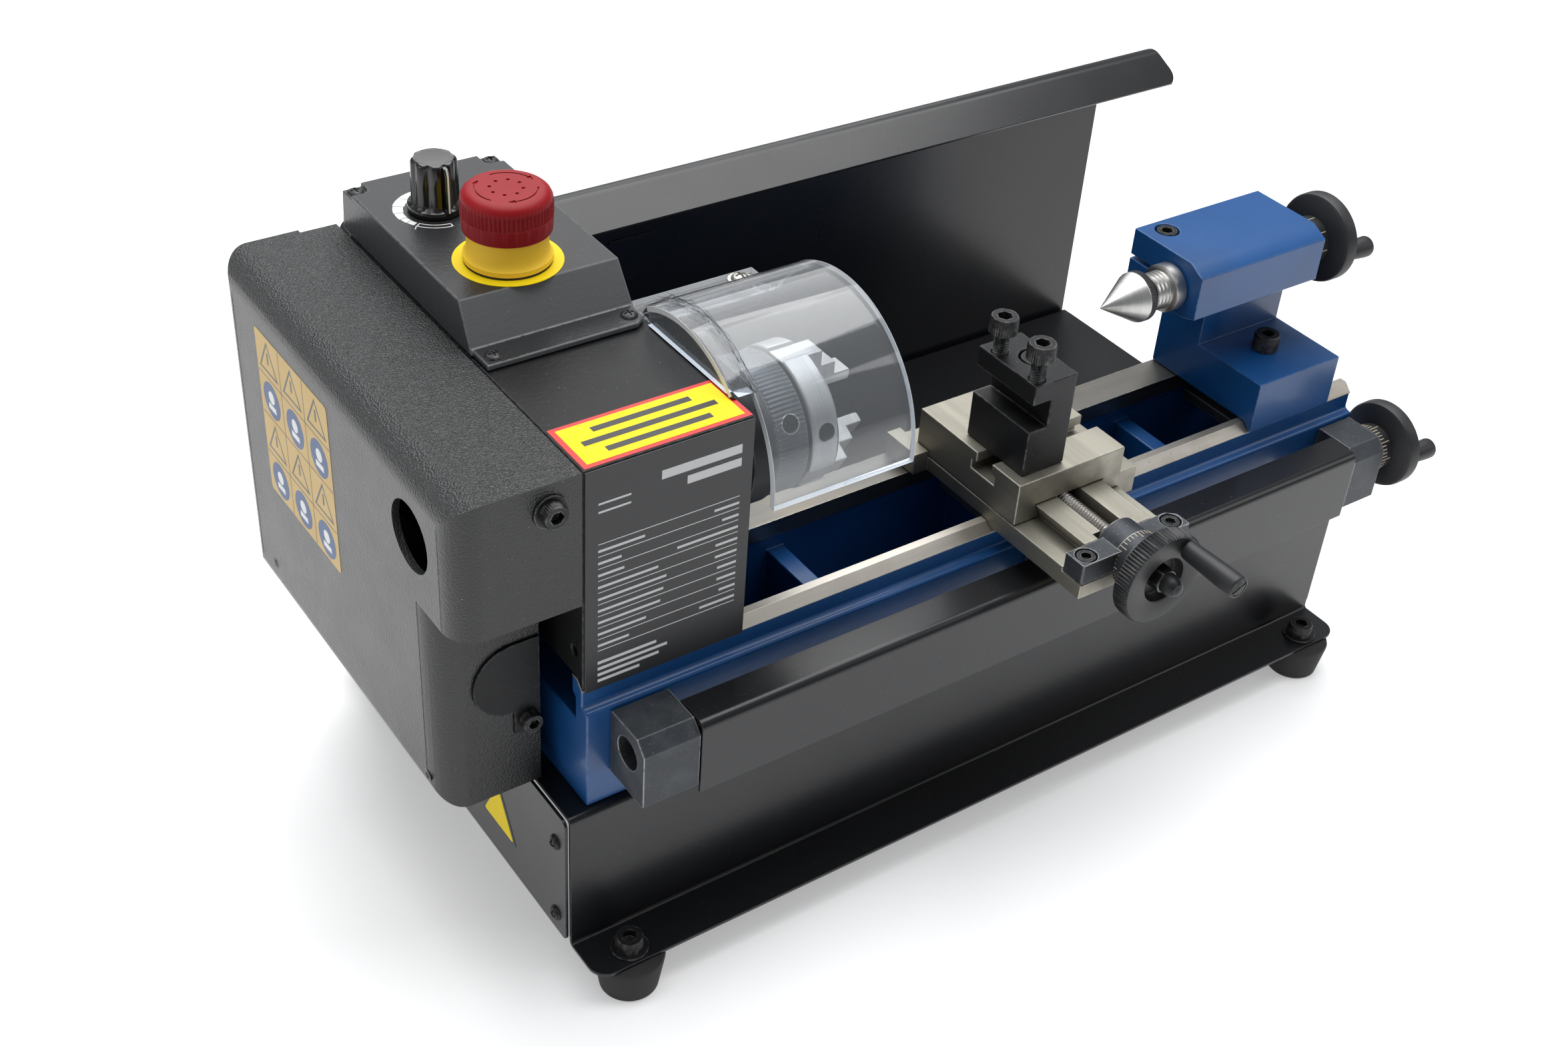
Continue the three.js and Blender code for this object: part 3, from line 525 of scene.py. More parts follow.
def linked(name, mesh):
    obj = bpy.data.objects.new(name, mesh)
    bpy.context.scene.collection.objects.link(obj)
    return obj


def baked(obj):
    """Applies the object's modifiers to its mesh."""
    graph = bpy.context.evaluated_depsgraph_get()
    mesh = bpy.data.meshes.new_from_object(obj.evaluated_get(graph))
    obj.modifiers.clear()
    obj.data = mesh


def combine(obj, operation, other):
    """Joins another object to this one, or takes it away, and removes it."""
    modifier = obj.modifiers.new("combine", "BOOLEAN")
    modifier.operation, modifier.object, modifier.solver = operation, other, "EXACT"
    baked(obj)
    bpy.data.objects.remove(other)


def carve(obj, add=(), cut=()):
    tools = []
    for operation, shapes in (("UNION", add), ("DIFFERENCE", cut)):
        for shape in shapes:
            tool = linked("tool", mesh_from(shape, "tool"))
            modifier = obj.modifiers.new(operation.lower(), "BOOLEAN")
            modifier.operation, modifier.object, modifier.solver = operation, tool, "EXACT"
            tools.append(tool)
    if tools:
        baked(obj)
        for tool in tools:
            bpy.data.objects.remove(tool)


def finish(obj, body, look, node="", bevel=0.0, segments=3, limit=35, clamp=False):
    obj.data.shade_smooth()
    if bevel:
        edge = obj.modifiers.new("edges", "BEVEL")
        edge.width, edge.segments, edge.limit_method = bevel * MM, segments, "ANGLE"
        edge.angle_limit, edge.use_clamp_overlap = math.radians(limit), clamp
        even = obj.modifiers.new("even", "WEIGHTED_NORMAL")
        even.weight = 60
    else:
        obj.data.set_sharp_from_angle(angle=math.radians(limit))
    obj.data.materials.clear()
    obj.data.materials.append(look[1])
    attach(obj, body)
    if node:
        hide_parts(node)


def piece(name, shape, body, look, node="", add=(), cut=(), **edges):
    obj = linked(name, mesh_from(shape, name))
    carve(obj, add, cut)
    finish(obj, body, look, node, **edges)


def lathed(profile, n=72, wave=None):
    """A solid of revolution on the spindle axis."""
    return turned("X", 0, AXIS, profile, n, wave)


def about(shape, degrees):
    """The shape turned about the spindle axis."""
    return spun(shape, "X", 0, AXIS, degrees)


def hexed(radius, t):
    return radius / math.cos((t % (TAU / 6)) - TAU / 12)


def cap_screw(name, axis, u, v, seat, r, height, body, sign=1, shank=0.0, node=""):
    """A knurled socket head standing on a seat, with its shank behind it."""
    socket, stem = r * 0.47, r * 0.56
    profile = [(0, -shank), (stem, -shank), (stem, 0)] if shank else [(0, 0)]
    rim = len(profile)
    profile += [(r, 0), (r, height * 0.82), (r - 0.45, height), (socket, height), (socket, height * 0.45),
                (0, height * 0.35)]

    def wave(i, radius, h, t):
        if i in (rim + 3, rim + 4):
            return hexed(radius, t)
        return radius - (0.10 * (1 + math.cos(36 * t)) if i in (rim, rim + 1) else 0)
    shape = turned(axis, u, v, [(a, seat + sign * b) for a, b in profile], 144, wave)
    piece(name, shape, body, OXIDE, node)


def washer(name, axis, u, v, inner, outer, a, b, body, look, n=72, bevel=0.1):
    piece(name, turned(axis, u, v, rect(inner, outer, a, b), n), body, look, bevel=bevel)


def pan_screw(name, axis, u, v, seat, r, height, body, sign=1, look=OXIDE):
    """A low domed head with a cross recess."""
    quarter = [k / 5 * math.pi / 2 for k in range(5)]
    dome = [(0, 0), (r, 0)] + [(r * math.cos(t), height * math.sin(t)) for t in quarter] + [(0, height)]
    shape = turned(axis, u, v, [(a, seat + sign * b) for a, b in dome], 40)
    w, low, high = r * 0.14, seat + sign * height * 0.35, seat + sign * (height + 1)
    arm = r * 0.62
    cross = [(-w, -arm), (w, -arm), (w, -w), (arm, -w), (arm, w), (w, w), (w, arm), (-w, arm), (-w, w), (-arm, w),
             (-arm, -w), (-w, -w)]
    recess = prism(axis, [(u + a, v + b) for a, b in cross], min(low, high), max(low, high))
    piece(name, shape, body, look, cut=[recess], bevel=0.05, segments=2)


def threaded(name, axis, u, v, r, a, b, pitch, body, look, node="", ends=((), ()), n=32, depth=0.35):
    """A rod with a ridge that winds round it; ends are plain (radius, height) steps beyond it."""
    rows = int((b - a) / pitch * 6)
    steps = [(r, a + (b - a) * k / rows) for k in range(rows + 1)]
    before, after = ends
    outer = [*before, *steps, *after]
    profile = [(0, outer[0][1]), *outer, (0, outer[-1][1])]
    first, last = 1 + len(before), len(before) + len(steps)

    def wave(i, radius, h, t):
        if not first <= i <= last or radius == 0:
            return radius
        phase = ((h - a) / pitch + t / TAU) % 1
        return radius - depth * r / 4 * abs(2 * phase - 1) * 2
    piece(name, turned(axis, u, v, profile, n, wave), body, look, node, limit=60)


# ---------- cabinet ----------
def cabinet():
    path = [(-52, 15.7), (-32.8, 15.7), (-32.8, 73.8), (136, 73.8), (136, 15.7), (155.2, 15.7)]
    cuts = [prism("Z", corner(x, y, r, sx, sy), 10, 20)
            for x, sx in ((0, 1), (356, -1)) for y, r, sy in ((-52, 7, 1), (155.2, 7, -1))]
    piece("cabinet_sheet", prism("X", bent_sheet(path, 1.2, 1.8), 0, 356), "frame", GLOSS,
          "base_cabinet", cut=cuts, bevel=0.25)
    plate = rounded([(-32.6, 17.8, 2), (135.8, 17.8, 2), (135.8, 73.3, 3), (-32.6, 73.3, 3)])
    for side, x, face, sign in (("left", -1.5, -1.5, -1), ("right", 356.3, 357.5, 1)):
        piece("end_plate_" + side, prism("X", plate, x, x + 1.2), "frame", GLOSS, "base_end_cover_" + side, bevel=0.3)
        for k, (y, z) in enumerate(((-26, 59.6), (-26, 25.7), (129, 59.6), (129, 25.7))):
            pan_screw(f"end_plate_{side}_screw_{k}", "X", y, z, face, 2.9, 1.7, "frame", sign)
    triangle = rounded([(1, 31, 1.5), (27, 31, 1.5), (14, 53.8, 1.5)])
    inner = rounded([(3.4, 32.4, 0.8), (24.6, 32.4, 0.8), (14, 51, 0.8)])
    piece("end_triangle_border", prism("X", triangle, -1.62, -1.5), "frame", PLATE)
    piece("end_triangle", prism("X", inner, -1.7, -1.6), "frame", DISC)
    foot = [(0, 0), (9.6, 0), (10.3, 0.7), (10.5, 2), (12.3, 13.8), (12.0, 14.7), (11.4, 15), (0, 15)]
    for end, x, y in (("front_left", 16.1, -44.8), ("front_right", 340.2, -44.8), ("rear_left", 16.1, 148),
                      ("rear_right", 340.2, 148)):
        piece("rubber_" + end, turned("Z", x, y, foot), "frame", RUBBER, "foot_" + end)
        washer("washer_" + end, "Z", x, y, 3, 6.6, 16.35, 17.2, "frame", OXIDE, 72, 0.15)
        cap_screw("foot_screw_" + end, "Z", x, y, 17.2, 4.9, 4.9, "frame")


def splash_guard():
    path = [(137.5, 32), (137.5, 202.4), (113.4, 190.9)]
    cuts = [block(356.4, 400, 130, 160, 0, 190.4), prism("Z", corner(379, 112.9, 7, -1, 1), 180, 205),
            prism("Z", corner(379, 138.3, 7, -1, -1), 180, 205), prism("Z", corner(69.4, 112.9, 4, 1, 1), 180, 205)]
    piece("splash_sheet", prism("X", bent_sheet(path, 1.2, 7, 10), 69.4, 379), "frame", on("satin_black", GLOSS),
          "splash_guard", cut=cuts, bevel=0.25)
    piece("splash_hook", block(113, 133, 136.4, 136.9, 170.4, 171.8), "frame", on("satin_black", GLOSS), bevel=0.2)
    for k, x in enumerate((84, 150, 216, 282, 344)):
        pan_screw(f"splash_screw_{k}", "Y", x, 60, 138.1, 3.4, 1.8, "frame")


# ---------- bed ----------
def bed():
    front = [(-30.4, 74.7), (-23.1, 74.7), (-23.1, 116.5), (-21.1, 118), (-21.1, 124.7), (-24, 124.7),
             (-27.15, 121.55), (-27.15, 115.2), (-28.3, 114.4), (-29.6, 114.2), (-30.4, 113)]
    rear = [(15, 74.7), (28, 74.7), (28, 112.4), (26.3, 114), (26.3, 124.7), (13, 124.7), (13, 118.2), (15, 116)]
    webs = [prism("X", rect(-24, 16, 74.7, top), a, b)
            for a, b, top in ((7.8, 15.8, 108), (106, 113, 111), (188, 195, 111), (270, 277, 111), (347, 355, 115))]
    piece("bed_casting", prism("X", front, *BED), "frame", BLUE, "bed",
          add=webs + [prism("X", rear, *BED)], bevel=0.6)
    front_way = [(-27.4, 121.4), (-27.4, 121.7), (-24.1, 125), (-21.1, 125), (-21.1, 124), (-24, 124), (-26.6, 121.4)]
    rear_way = [(12.7, 118.3), (12.7, 125), (26.3, 125), (26.3, 124), (13.7, 124), (13.7, 118.3)]
    piece("way_front", prism("X", front_way, *BED), "frame", WAY, bevel=0.15)
    piece("way_rear", prism("X", rear_way, *BED), "frame", SHADED_REAR_WAY, bevel=0.15)


# ---------- headstock ----------
def headstock():
    skirt = [(-27.9, 122.4), (-27.7, 121.9), (-24.2, 125.3), (36, 125.3), (36, 205.6), (-28, 205.6)]
    piece("head_casting", prism("X", skirt, 7.8, 66.9), "frame", SATIN, "headstock_casting",
          cut=[rod("X", 0, AXIS, 16.3, 0, 17.8, 64), rod("X", 0, AXIS, 13, 0, 80, 64),
               rod("X", 0, AXIS, 16.3, 56.9, 80, 64), rod("X", -22.5, 135.2, 1.7, 0, 13, 32)], bevel=0.7)
    for name, x in (("bearing_left", 8.4), ("bearing_right", 57.3)):
        ring = [(8.7, x), (11, x), (11.3, x + 0.7), (13.4, x + 0.7), (13.7, x), (16, x), (16, x + 9), (13.7, x + 9),
                (13.4, x + 8.3), (11.3, x + 8.3), (11, x + 9), (8.7, x + 9)]
        piece(name, lathed(ring), "frame", TURNED, "spindle_" + name, bevel=0.1)
    piece("plate_front", block(8.2, 66.5, -28.6, -28.1, 121.7, 205.2), "frame", on("satin_black", PLATE),
          "spec_plate", bevel=0.15)

    def bar(left, right, z, height):
        return block(left, right, -28.68, -28.6, z, z + height)
    left, right, pitch = 12.6, 62.2, 4.55
    marks = [bar(left, right, 178 - pitch * k, 0.28) for k in range(10)]
    for k, (word, value) in enumerate(zip((16, 8, 9, 21, 24, 23, 22, 17, 11), (9, 6, 22, 8, 8, 7, 7, 6, 13))):
        z = 175.15 - pitch * k
        marks += [bar(left, left + word, z, 0.9), bar(right - value, right, z, 0.9)]
    marks += [bar(34, right, 194.2, 3.2), bar(43, right, 189.4, 3)]
    marks += [bar(left, left + w, z, 1.1) for w, z in ((21, 131.8), (25, 129.4), (22, 127), (15, 124.6))]
    marks += [bar(left, 23.6, 192.5, 0.7), bar(left, 23.6, 189.5, 0.7)]
    piece("plate_rules", joined(marks), "frame", TEXT)
    piece("top_label_border", block(8.8, 66.4, -27.2, -5, 205.6, 205.72), "frame", LABEL_RED)
    piece("top_label", block(10.6, 64.6, -25.6, -6.6, 205.7, 205.8), "frame", DISC)
    lines = [block(37.5 - w / 2, 37.5 + w / 2, y - 1.2, y + 1.2, 205.8, 205.86)
             for w, y in ((34, -10.8), (46, -16.1), (36, -21.4))]
    piece("top_label_bars", joined(lines), "frame", PLATE)


def motor_unit():
    shell = rounded([(8, 36.4, 0), (66.5, 36.4, 0), (66.5, 131, 3), (8, 131, 3)])
    slots = [block(14 + 6 * k, 17 + 6 * k, 128, 133, 90, 116) for k in range(8)]
    piece("motor_case", prism("Z", shell, 74.7, 205.3), "frame", SATIN, "motor_housing",
          cut=[block(10, 64.5, 38.4, 129, 74, 203.3), rod("Y", *GLAND, 5, 128, 138),
               rod("Z", *STOP, 6.4, 202, 207)] + slots, bevel=0.8)
    body = [(0, 61), (9, 61), (9, 59), (27, 59), (29, 57), (29, 15), (27, 12.6), (3.4, 12.6), (3.4, 34), (0, 34)]

    def fins(i, r, h, t):
        return r - (0.5 * (1 + math.cos(40 * t)) if r == 29 else 0)
    piece("motor_body", turned("X", *MOTOR, body, 160, fins), "frame", GUNMETAL, "drive_motor")
    gland = [(0, 125), (4.6, 125), (4.6, 131.2), (7, 131.2), (7, 136), (5.6, 136.4), (5.4, 137.4), (5.0, 138.2),
             (5.4, 139), (5.0, 139.8), (5.4, 140.6), (5.0, 141.4), (5.4, 142.2), (5.2, 145), (3.4, 145), (3.4, 135),
             (0, 135)]
    piece("gland", turned("Y", *GLAND, [(r, h + 3) for r, h in gland], 48), "frame", RUBBER, "cable_gland")


def drive():
    def rim(r, hub):
        return [(hub, -18), (r + 1, -18), (r + 1, -17), (r, -16.8), (r, -7.2), (r + 1, -7), (r + 1, -6), (hub, -6)]
    piece("pulley_spindle", lathed(rim(SPINDLE_PULLEY_R, 8.7)), "spindle_unit", on("dark_steel", TURNED),
          "spindle_pulley", bevel=0.2)
    small = [(0, -20), (3, -20), (3, -18)] + rim(MOTOR_PULLEY_R, 3)[1:-1] + [(3, -6), (3, 30), (0, 30)]
    piece("pulley_motor", turned("X", *MOTOR, small), "motor_rotor", on("dark_steel", TURNED),
          "motor_pulley", bevel=0.2)
    y, z = MOTOR
    aim = math.atan2(z - AXIS, y)
    spread = math.acos((SPINDLE_PULLEY_R - MOTOR_PULLEY_R) / math.hypot(y, z - AXIS))

    def loop(offset, ridge=0.0):
        points = []
        for cy, cz, radius, a, b, n in ((0, AXIS, SPINDLE_PULLEY_R, aim + spread, aim + TAU - spread, 80),
                                        (y, z, MOTOR_PULLEY_R, aim - spread, aim + spread, 24)):
            for k in range(n + 1):
                t, r = a + (b - a) * k / n, radius + offset + ridge * (k % 2)
                points.append((cy + r * math.cos(t), cz + r * math.sin(t)))
        return points
    piece("belt_loop", prism("X", loop(2.5), -16.4, -7.6), "frame", RUBBER, "drive_belt",
          cut=[prism("X", loop(0.5, 0.5), -20, 0)])
    nose = [(5, -26), (5.6, -26.2), (8.4, -26), (8.4, 66.9), (15, 67.4), (15, 69.6), (8, 69.6), (8, 74), (5, 74)]
    piece("spindle_shaft", lathed(nose), "spindle_unit", TURNED, "spindle", bevel=0.15)


def belt_cover():
    def shell(inset):
        left, front, rear = -33.9 + inset, -28.4 + inset, 140 - inset
        low, top, r = 75.4 + inset, 205.6 - inset, 10 - inset
        side = prism("Y", rounded([(left, low, r), (20, low, 0), (20, top, 0), (left, top, r)], 14), front, rear)
        obj = linked("cover_shell", mesh_from(side, "cover_shell"))
        step = -11.7 + inset
        carve(obj, cut=[prism("Z", corner(left, front, r, 1, 1), 157 + inset, 220),
                        prism("Z", corner(left, step, r, 1, 1), 60, 157 + inset),
                        prism("Z", corner(left, rear, r, 1, -1), 60, 220),
                        block(-60, 30, -60, step, 60, 157 + inset)])
        return obj
    obj = shell(0)
    combine(obj, "DIFFERENCE", shell(COVER_WALL))
    carve(obj, cut=[block(7.5, 30, -60, 160, 60, 220), rod("X", 0, AXIS, 11.7, -40, -25, 72),
                    block(1.5, 12, -40, 12, 60, 155), block(-5.4, 12, 138.2, 145, 195.6, 220)])
    finish(obj, "frame", GRAIN, "belt_cover", bevel=0.7, limit=30, clamp=True)
    half_turn = [math.pi / 2 + math.pi * k / 20 for k in range(21)]
    arc = [(-8 + 14 * math.cos(t), 122.8 + 14 * math.sin(t)) for t in half_turn]
    hatch = prism("Y", arc + [(-8, 99.6), (1.2, 99.6), (1.2, 136.8)], -12.7, -12)
    piece("hatch_plate", hatch, "frame", SATIN, "belt_cover_hatch", bevel=0.25)
    cap_screw("hatch_screw", "Y", -3, 104.4, -12.7, 3.6, 3.4, "frame", -1)
    cap_screw("cover_screw", "Y", -3, 196.2, -28.4, 4.2, 4.2, "frame", -1)
    washer("cover_screw_washer", "Y", -3, 196.2, 2, 5.6, -28.5, -29.2, "frame", OXIDE)
    for k, (y, z) in enumerate(((118, 90), (-2, 86))):
        pan_screw(f"cover_pin_{k}", "X", y, z, -33.9, 2.2, 0.2, "frame", -1)
    label = rounded([(y, z, 1.5) for y, z in rect(56, 112, 127.5, 192)])
    piece("side_label", prism("X", label, -33.98, -33.85), "frame", AMBER)
    lines, discs, dots, signs = [], [], [], []
    width, row_height, flat, raised = 56 / 3, 16.125, (-34.0, -33.95), (-34.04, -33.98)
    for y in (56 + width, 56 + 2 * width):
        lines.append(block(*flat, y - 0.2, y + 0.2, 128, 191.5))
    for row in (1, 2, 3):
        z = 127.5 + row_height * row
        lines.append(block(*flat, 56.5, 111.5, z - 0.2, z + 0.2))
    for column in range(3):
        for row in range(4):
            y, z = 56 + width * (column + 0.5), 135.5 + row_height * row
            if row % 2:
                signs.append(triangle_ring("X", y, z, 8.2, 6.6, *flat))
                lines.append(block(*flat, y - 0.6, y + 0.6, z - 2.2, z + 2.2))
            else:
                discs.append(rod("X", y, z, 6.8, *flat))
                dots += [rod("X", y, z + 1.2, 2.4, *raised, 24), block(*raised, y - 3, y + 3, z - 4, z - 1.8)]
    piece("side_label_lines", joined(lines + signs), "frame", PLATE)
    piece("side_label_discs", joined(discs), "frame", LABEL_BLUE)
    piece("side_label_dots", joined(dots), "frame", on("yellow_plastic", WHITE))


# ---------- control box ----------
def control_box():
    low, high = (8.2, 66.3, 41, 134), (8.2, 64.4, 48.4, 132.3)
    flange = prism("Z", [(8.8, 31.2), (61.5, 31.2), (65.5, 34), (65.5, 43), (8.8, 43)], 205.9, 207.9)
    pockets = [prism("Z", rounded([(x0, 125.1, r0), (x1, 125.1, r1), (x1, 138, 0), (x0, 138, 0)]), 220.6, 226)
               for x0, x1, r0, r1 in ((4, 14.7, 0, 2.6), (57.9, 70, 2.6, 0))]
    piece("console_shell", frustum(low, high, 205.9, BOX_TOP), "frame", BOX, "control_box",
          add=[flange], cut=pockets + [frustum((10.2, 64.3, 43, 132), (10.2, 62.2, 49.8, 130.5), 205, 219.4)],
          bevel=0.5, limit=25)
    for k, (x, y, z) in enumerate(((11.4, 128.9, 220.6), (61.1, 128.9, 220.6), (12.9, 35.6, 207.9),
                                   (61.4, 36.4, 207.9))):
        pan_screw(f"console_screw_{k}", "Z", x, y, z, 2.9, 1.2, "frame")
    x, y = DIAL
    pointer = -87

    def flutes(i, r, h, t):
        if r <= 0 or not 6 <= i <= 10:
            return r
        return r - 0.95 * (0.5 + 0.5 * math.cos(8 * (t - math.radians(pointer)))) ** 2 * (1 if i < 10 else 0.8)
    profile = [(0, 210.5), (3, 210.5), (3, 222.5), (9.0, 222.5), (9.3, 223), (9.2, 224.6), (8.1, 225.4), (7.9, 226.2),
               (7.7, 233), (7.55, 239.4), (7.2, 240.1), (6.3, 240.5), (5.2, 240.4), (0, 240.3)]
    piece("knob_body", turned("Z", x, y, profile, 192, flutes), "knob", KNOB, "speed_knob", limit=50)
    fin = [(x + 5, 223.4), (x + 9.25, 223.4), (x + 9.0, 237.2), (x + 8.2, 239.6), (x + 5, 240.2)]
    piece("knob_pointer", spun(prism("Y", fin, y - 0.85, y + 0.85), "Z", x, y, pointer), "knob", KNOB, bevel=0.35)
    line = [(x + 9.1, 224.4), (x + 9.36, 224.4), (x + 9.1, 237.3), (x + 8.3, 239.7), (x + 8.0, 239.6),
            (x + 8.8, 237.2)]
    piece("knob_line", spun(prism("Y", line, y - 0.3, y + 0.3), "Z", x, y, pointer), "knob",
          on("moulded_black", WHITE))
    band = [(11.3, 13.3, 200, 212), (11.1, 13.5, 187, 199), (10.9, 13.8, 168, 186), (10.6, 14.0, 147, 167),
            (10.3, 14.2, 122, 146), (10.1, 14.3, 96, 121)]
    frame_lines = [(11.2, 11.55, 217, 268), (13.1, 13.45, 217, 268), (11.2, 13.45, 215.6, 217.4),
                   (11.2, 13.45, 266.8, 268.6)]
    marks = [prism("Z", arc_at(x, y, *ring, n), BOX_TOP, BOX_TOP + 0.07)
             for rings, n in ((band, 12), (frame_lines, 16)) for ring in rings]
    piece("dial_marks", joined(marks), "frame", WHITE)
    for name, text, dx, dy in (("dial_one", "1", -12.1, -9.6), ("dial_zero", "0", 1.4, -16.4)):
        curve = bpy.data.curves.new(name, "FONT")
        curve.body, curve.size, curve.extrude, curve.align_x = text, 3.2 * MM, 0.03 * MM, "CENTER"
        number = linked(name, curve)
        number.location = at(x + dx, y + dy, BOX_TOP + 0.04)
        number.rotation_euler = (0, 0, math.radians(-37))
        mesh = bpy.data.meshes.new_from_object(number.evaluated_get(bpy.context.evaluated_depsgraph_get()))
        mesh.transform(number.matrix_basis)
        bpy.data.objects.remove(number)
        finish(linked(name, mesh), "frame", WHITE)
    x, y = STOP
    washer("stop_disc", "Z", x, y, 11, 17.6, BOX_TOP, BOX_TOP + 0.18, "frame", DISC, 120, 0)
    washer("stop_gasket", "Z", x, y, 11, 14.1, 222.2, 223, "frame", RUBBER, 96)
    collar = [(5.5, 200), (11, 200), (11, 222.9), (14.0, 222.9), (14.3, 223.2), (14.3, 224.7), (14.0, 225.0),
              (13.4, 225.7), (13.1, 226.8), (12.95, 228.5), (12.9, 233), (5.5, 233)]
    piece("stop_collar", turned("Z", x, y, collar, 96), "frame", YELLOW, "estop_collar")

    def ribs(i, r, h, t):
        return r - (0.55 * (0.5 + 0.5 * math.cos(66 * t)) if i in (7, 8) else 0)
    cap = [(0, 203.5), (5, 203.5), (5, 237.5), (13.4, 237.5), (13.4, 233.5), (14.2, 233.5), (14.55, 238.7),
           (14.6, 238.9), (14.6, 243.0), (14.4, 244.3), (13.8, 245.6), (12.8, 246.5), (11.6, 246.9), (10.6, 247),
           (0, 247)]
    turns = [TAU * k / 8 + 0.2 for k in range(8)]
    dimples = [rod("Z", x + 5.2 * math.cos(t), y + 5.2 * math.sin(t), 0.62, 246.6, 248, 16) for t in turns]
    arrows = []
    for start in (10, 130, 250):
        arrows.append(prism("Z", arc_at(x, y, 9.5, 10.05, start, start + 84), 246.6, 248))
        corners = [(r, math.radians(start + turn)) for r, turn in ((9.8, -6), (10.9, 9), (8.9, 9))]
        head = [(x + r * math.cos(t), y + r * math.sin(t)) for r, t in corners]
        arrows.append(prism("Z", head, 246.6, 248))
    piece("stop_cap", turned("Z", x, y, cap, 288, ribs), "stop_button", RED, "estop_button",
          cut=[joined(dimples)] + arrows, limit=40)


# ---------- chuck and guard ----------
def chuck():
    plate = [(8.3, 70), (23.4, 70), (24, 70.6), (24, 79.1), (23.4, 79.7), (8.3, 79.7)]
    piece("chuck_backplate", lathed(plate, 96), "spindle_unit", on("ground_steel", OXIDE))
    back = [(8.3, 79.8), (16.8, 79.8), (16.8, 92.6), (23.4, 92.6), (24, 93.2),
            (24, 102), (23.2, 103), (21.4, 103.4), (9.4, 103.4), (8.3, 102.4)]
    slots = [about(block(91.6, 104.4, -4.3, 4.3, AXIS + 5, AXIS + 26), 120 * k) for k in range(3)]
    holes = [about(rod("Z", 98, 0, 3, AXIS + 16, AXIS + 26, 40), a) for a in (75, 195, 315)]
    piece("chuck_shell", lathed(back, 120), "spindle_unit", CHUCK, "chuck_body",
          cut=slots + holes, bevel=0.3)
    ring = [(17.2, 80), (22.8, 80), (23.4, 80.6), (23.4, 91), (22.8, 91.6), (17.2, 91.6)]

    def teeth(i, r, h, t):
        return r - (0.14 * (1 + math.cos(96 * t)) if i in (2, 3) else 0)
    holes = [about(rod("Z", 85.8, 0, 3, AXIS + 18, AXIS + 26, 40), a) for a in (60, 180, 300)]
    piece("scroll_knurl", lathed(ring, 720, teeth), "scroll", GUNMETAL, "chuck_scroll_ring",
          cut=holes, limit=40)
    steps = [(93.1, 8.8), (119.4, 8.8), (120, 9.4), (120, 12.4), (114, 12.4), (114, 17), (108.5, 17), (108.5, 22.6),
             (93.1, 22.6)]
    jaw = prism("Y", [(x, AXIS + up) for x, up in steps], -4, 4)
    for k in range(3):
        piece(f"jaw_steps_{k + 1}", about(jaw, 120 * k), f"jaw_{k + 1}", CHUCK, f"chuck_jaw_{k + 1}", bevel=0.35)


def guard():
    def band(a, b, inner=41.5, n=40):
        return arc_at(*GUARD_AT, inner, 43.9, a, b, n)
    shell = prism("X", band(29.5, 184), 72.8, 127)
    low = block(60, 140, -60, 90, 100, 206.3)
    obj = linked("guard_shell", mesh_from(shell, "guard_shell"))
    over = linked("over", mesh_from(prism("X", band(45, 135), 65.1, 73.8), "over"))
    carve(over, add=[prism("X", arc_at(*GUARD_AT, 0.1, 43.3, 45, 135), 65.1, 67.1)],
          cut=[low, block(60, 66.8, 30.8, 90, 200, 225)])
    combine(obj, "UNION", over)
    carve(obj, add=[block(72.8, 123.6, 47.6, 58.8, 194.8, 197.2)])
    finish(obj, "guard", CLEAR, "chuck_guard", bevel=0.3, segments=2)
    leaf = block(80, 122, 50.4, 58.6, 193, 194.5)
    piece("hinge_leaf", turned("X", *HINGE, rect(2.9, 4.2, 80, 122), 48), "guard", OXIDE, "guard_hinge_leaf",
          add=[leaf], bevel=0.25)
    arm = rounded([(y, z, 2) for y, z in rect(49, 63, 181.6, 194.6)])
    piece("hinge_pin", rod("X", *HINGE, 2.5, 68, 124), "frame", OXIDE, "guard_hinge_rod",
          add=[rod("X", *HINGE, 4.2, 69, 79.6, 72), prism("X", arm, 66.9, 69.4)], bevel=0.3)
    # Painted highlight: thin pale strips along the guard's cut edges.
    edge = [prism("X", band(29.5, 184), 127, 127.1), prism("X", band(132, 184), 72.7, 72.8),
            prism("X", band(184, 184.15, n=1), 72.8, 127), prism("X", band(62, 131, 42.1), 65, 65.1),
            block(65.1, 72.8, -18, -14.6, 206.2, 206.3), block(65.1, 67.1, -18, 30.8, 206.2, 206.3),
            block(72.8, 123.6, 58.8, 58.9, 194.8, 197.2), block(123.6, 123.7, 48.2, 58.8, 194.8, 197.2)]
    piece("guard_edges", joined(edge), "guard", GUARD_EDGE_GLINT)
    washer("hinge_washer", "Z", 115.4, 53.4, 1.5, 4.4, 197.2, 197.8, "guard", ZINC, 48)
    pan_screw("hinge_screw", "Z", 115.4, 53.4, 197.8, 3.3, 1.9, "guard", look=ZINC)


# ---------- feeds ----------
def screw_block(name, node, x0, x1, bore_end):
    outline = rounded([(-51, 86.9, 0.8), (-30.7, 86.9, 0), (-30.7, 113, 0.8), (-46.6, 113, 0), (-51, 108.4, 0)])
    piece(name, prism("X", outline, x0, x1), "frame", GUNMETAL, node,
          cut=[rod("X", *LEAD, 5.8, x0 - 1, bore_end), rod("X", *LEAD, 4.3, x0 - 1, x1 + 1)], bevel=0.25)


def graduations(name, axis, u, v, r, half, start, short, long, body):
    """Forty raised lines round a collar, each fifth one long."""
    base = rect(u + r[0], u + r[1], v - half, v + half)
    marks = [spun(prism(axis, base, start, short if k % 5 else long), axis, u, v, 9 * k) for k in range(40)]
    piece(name, joined(marks), body, LINES)


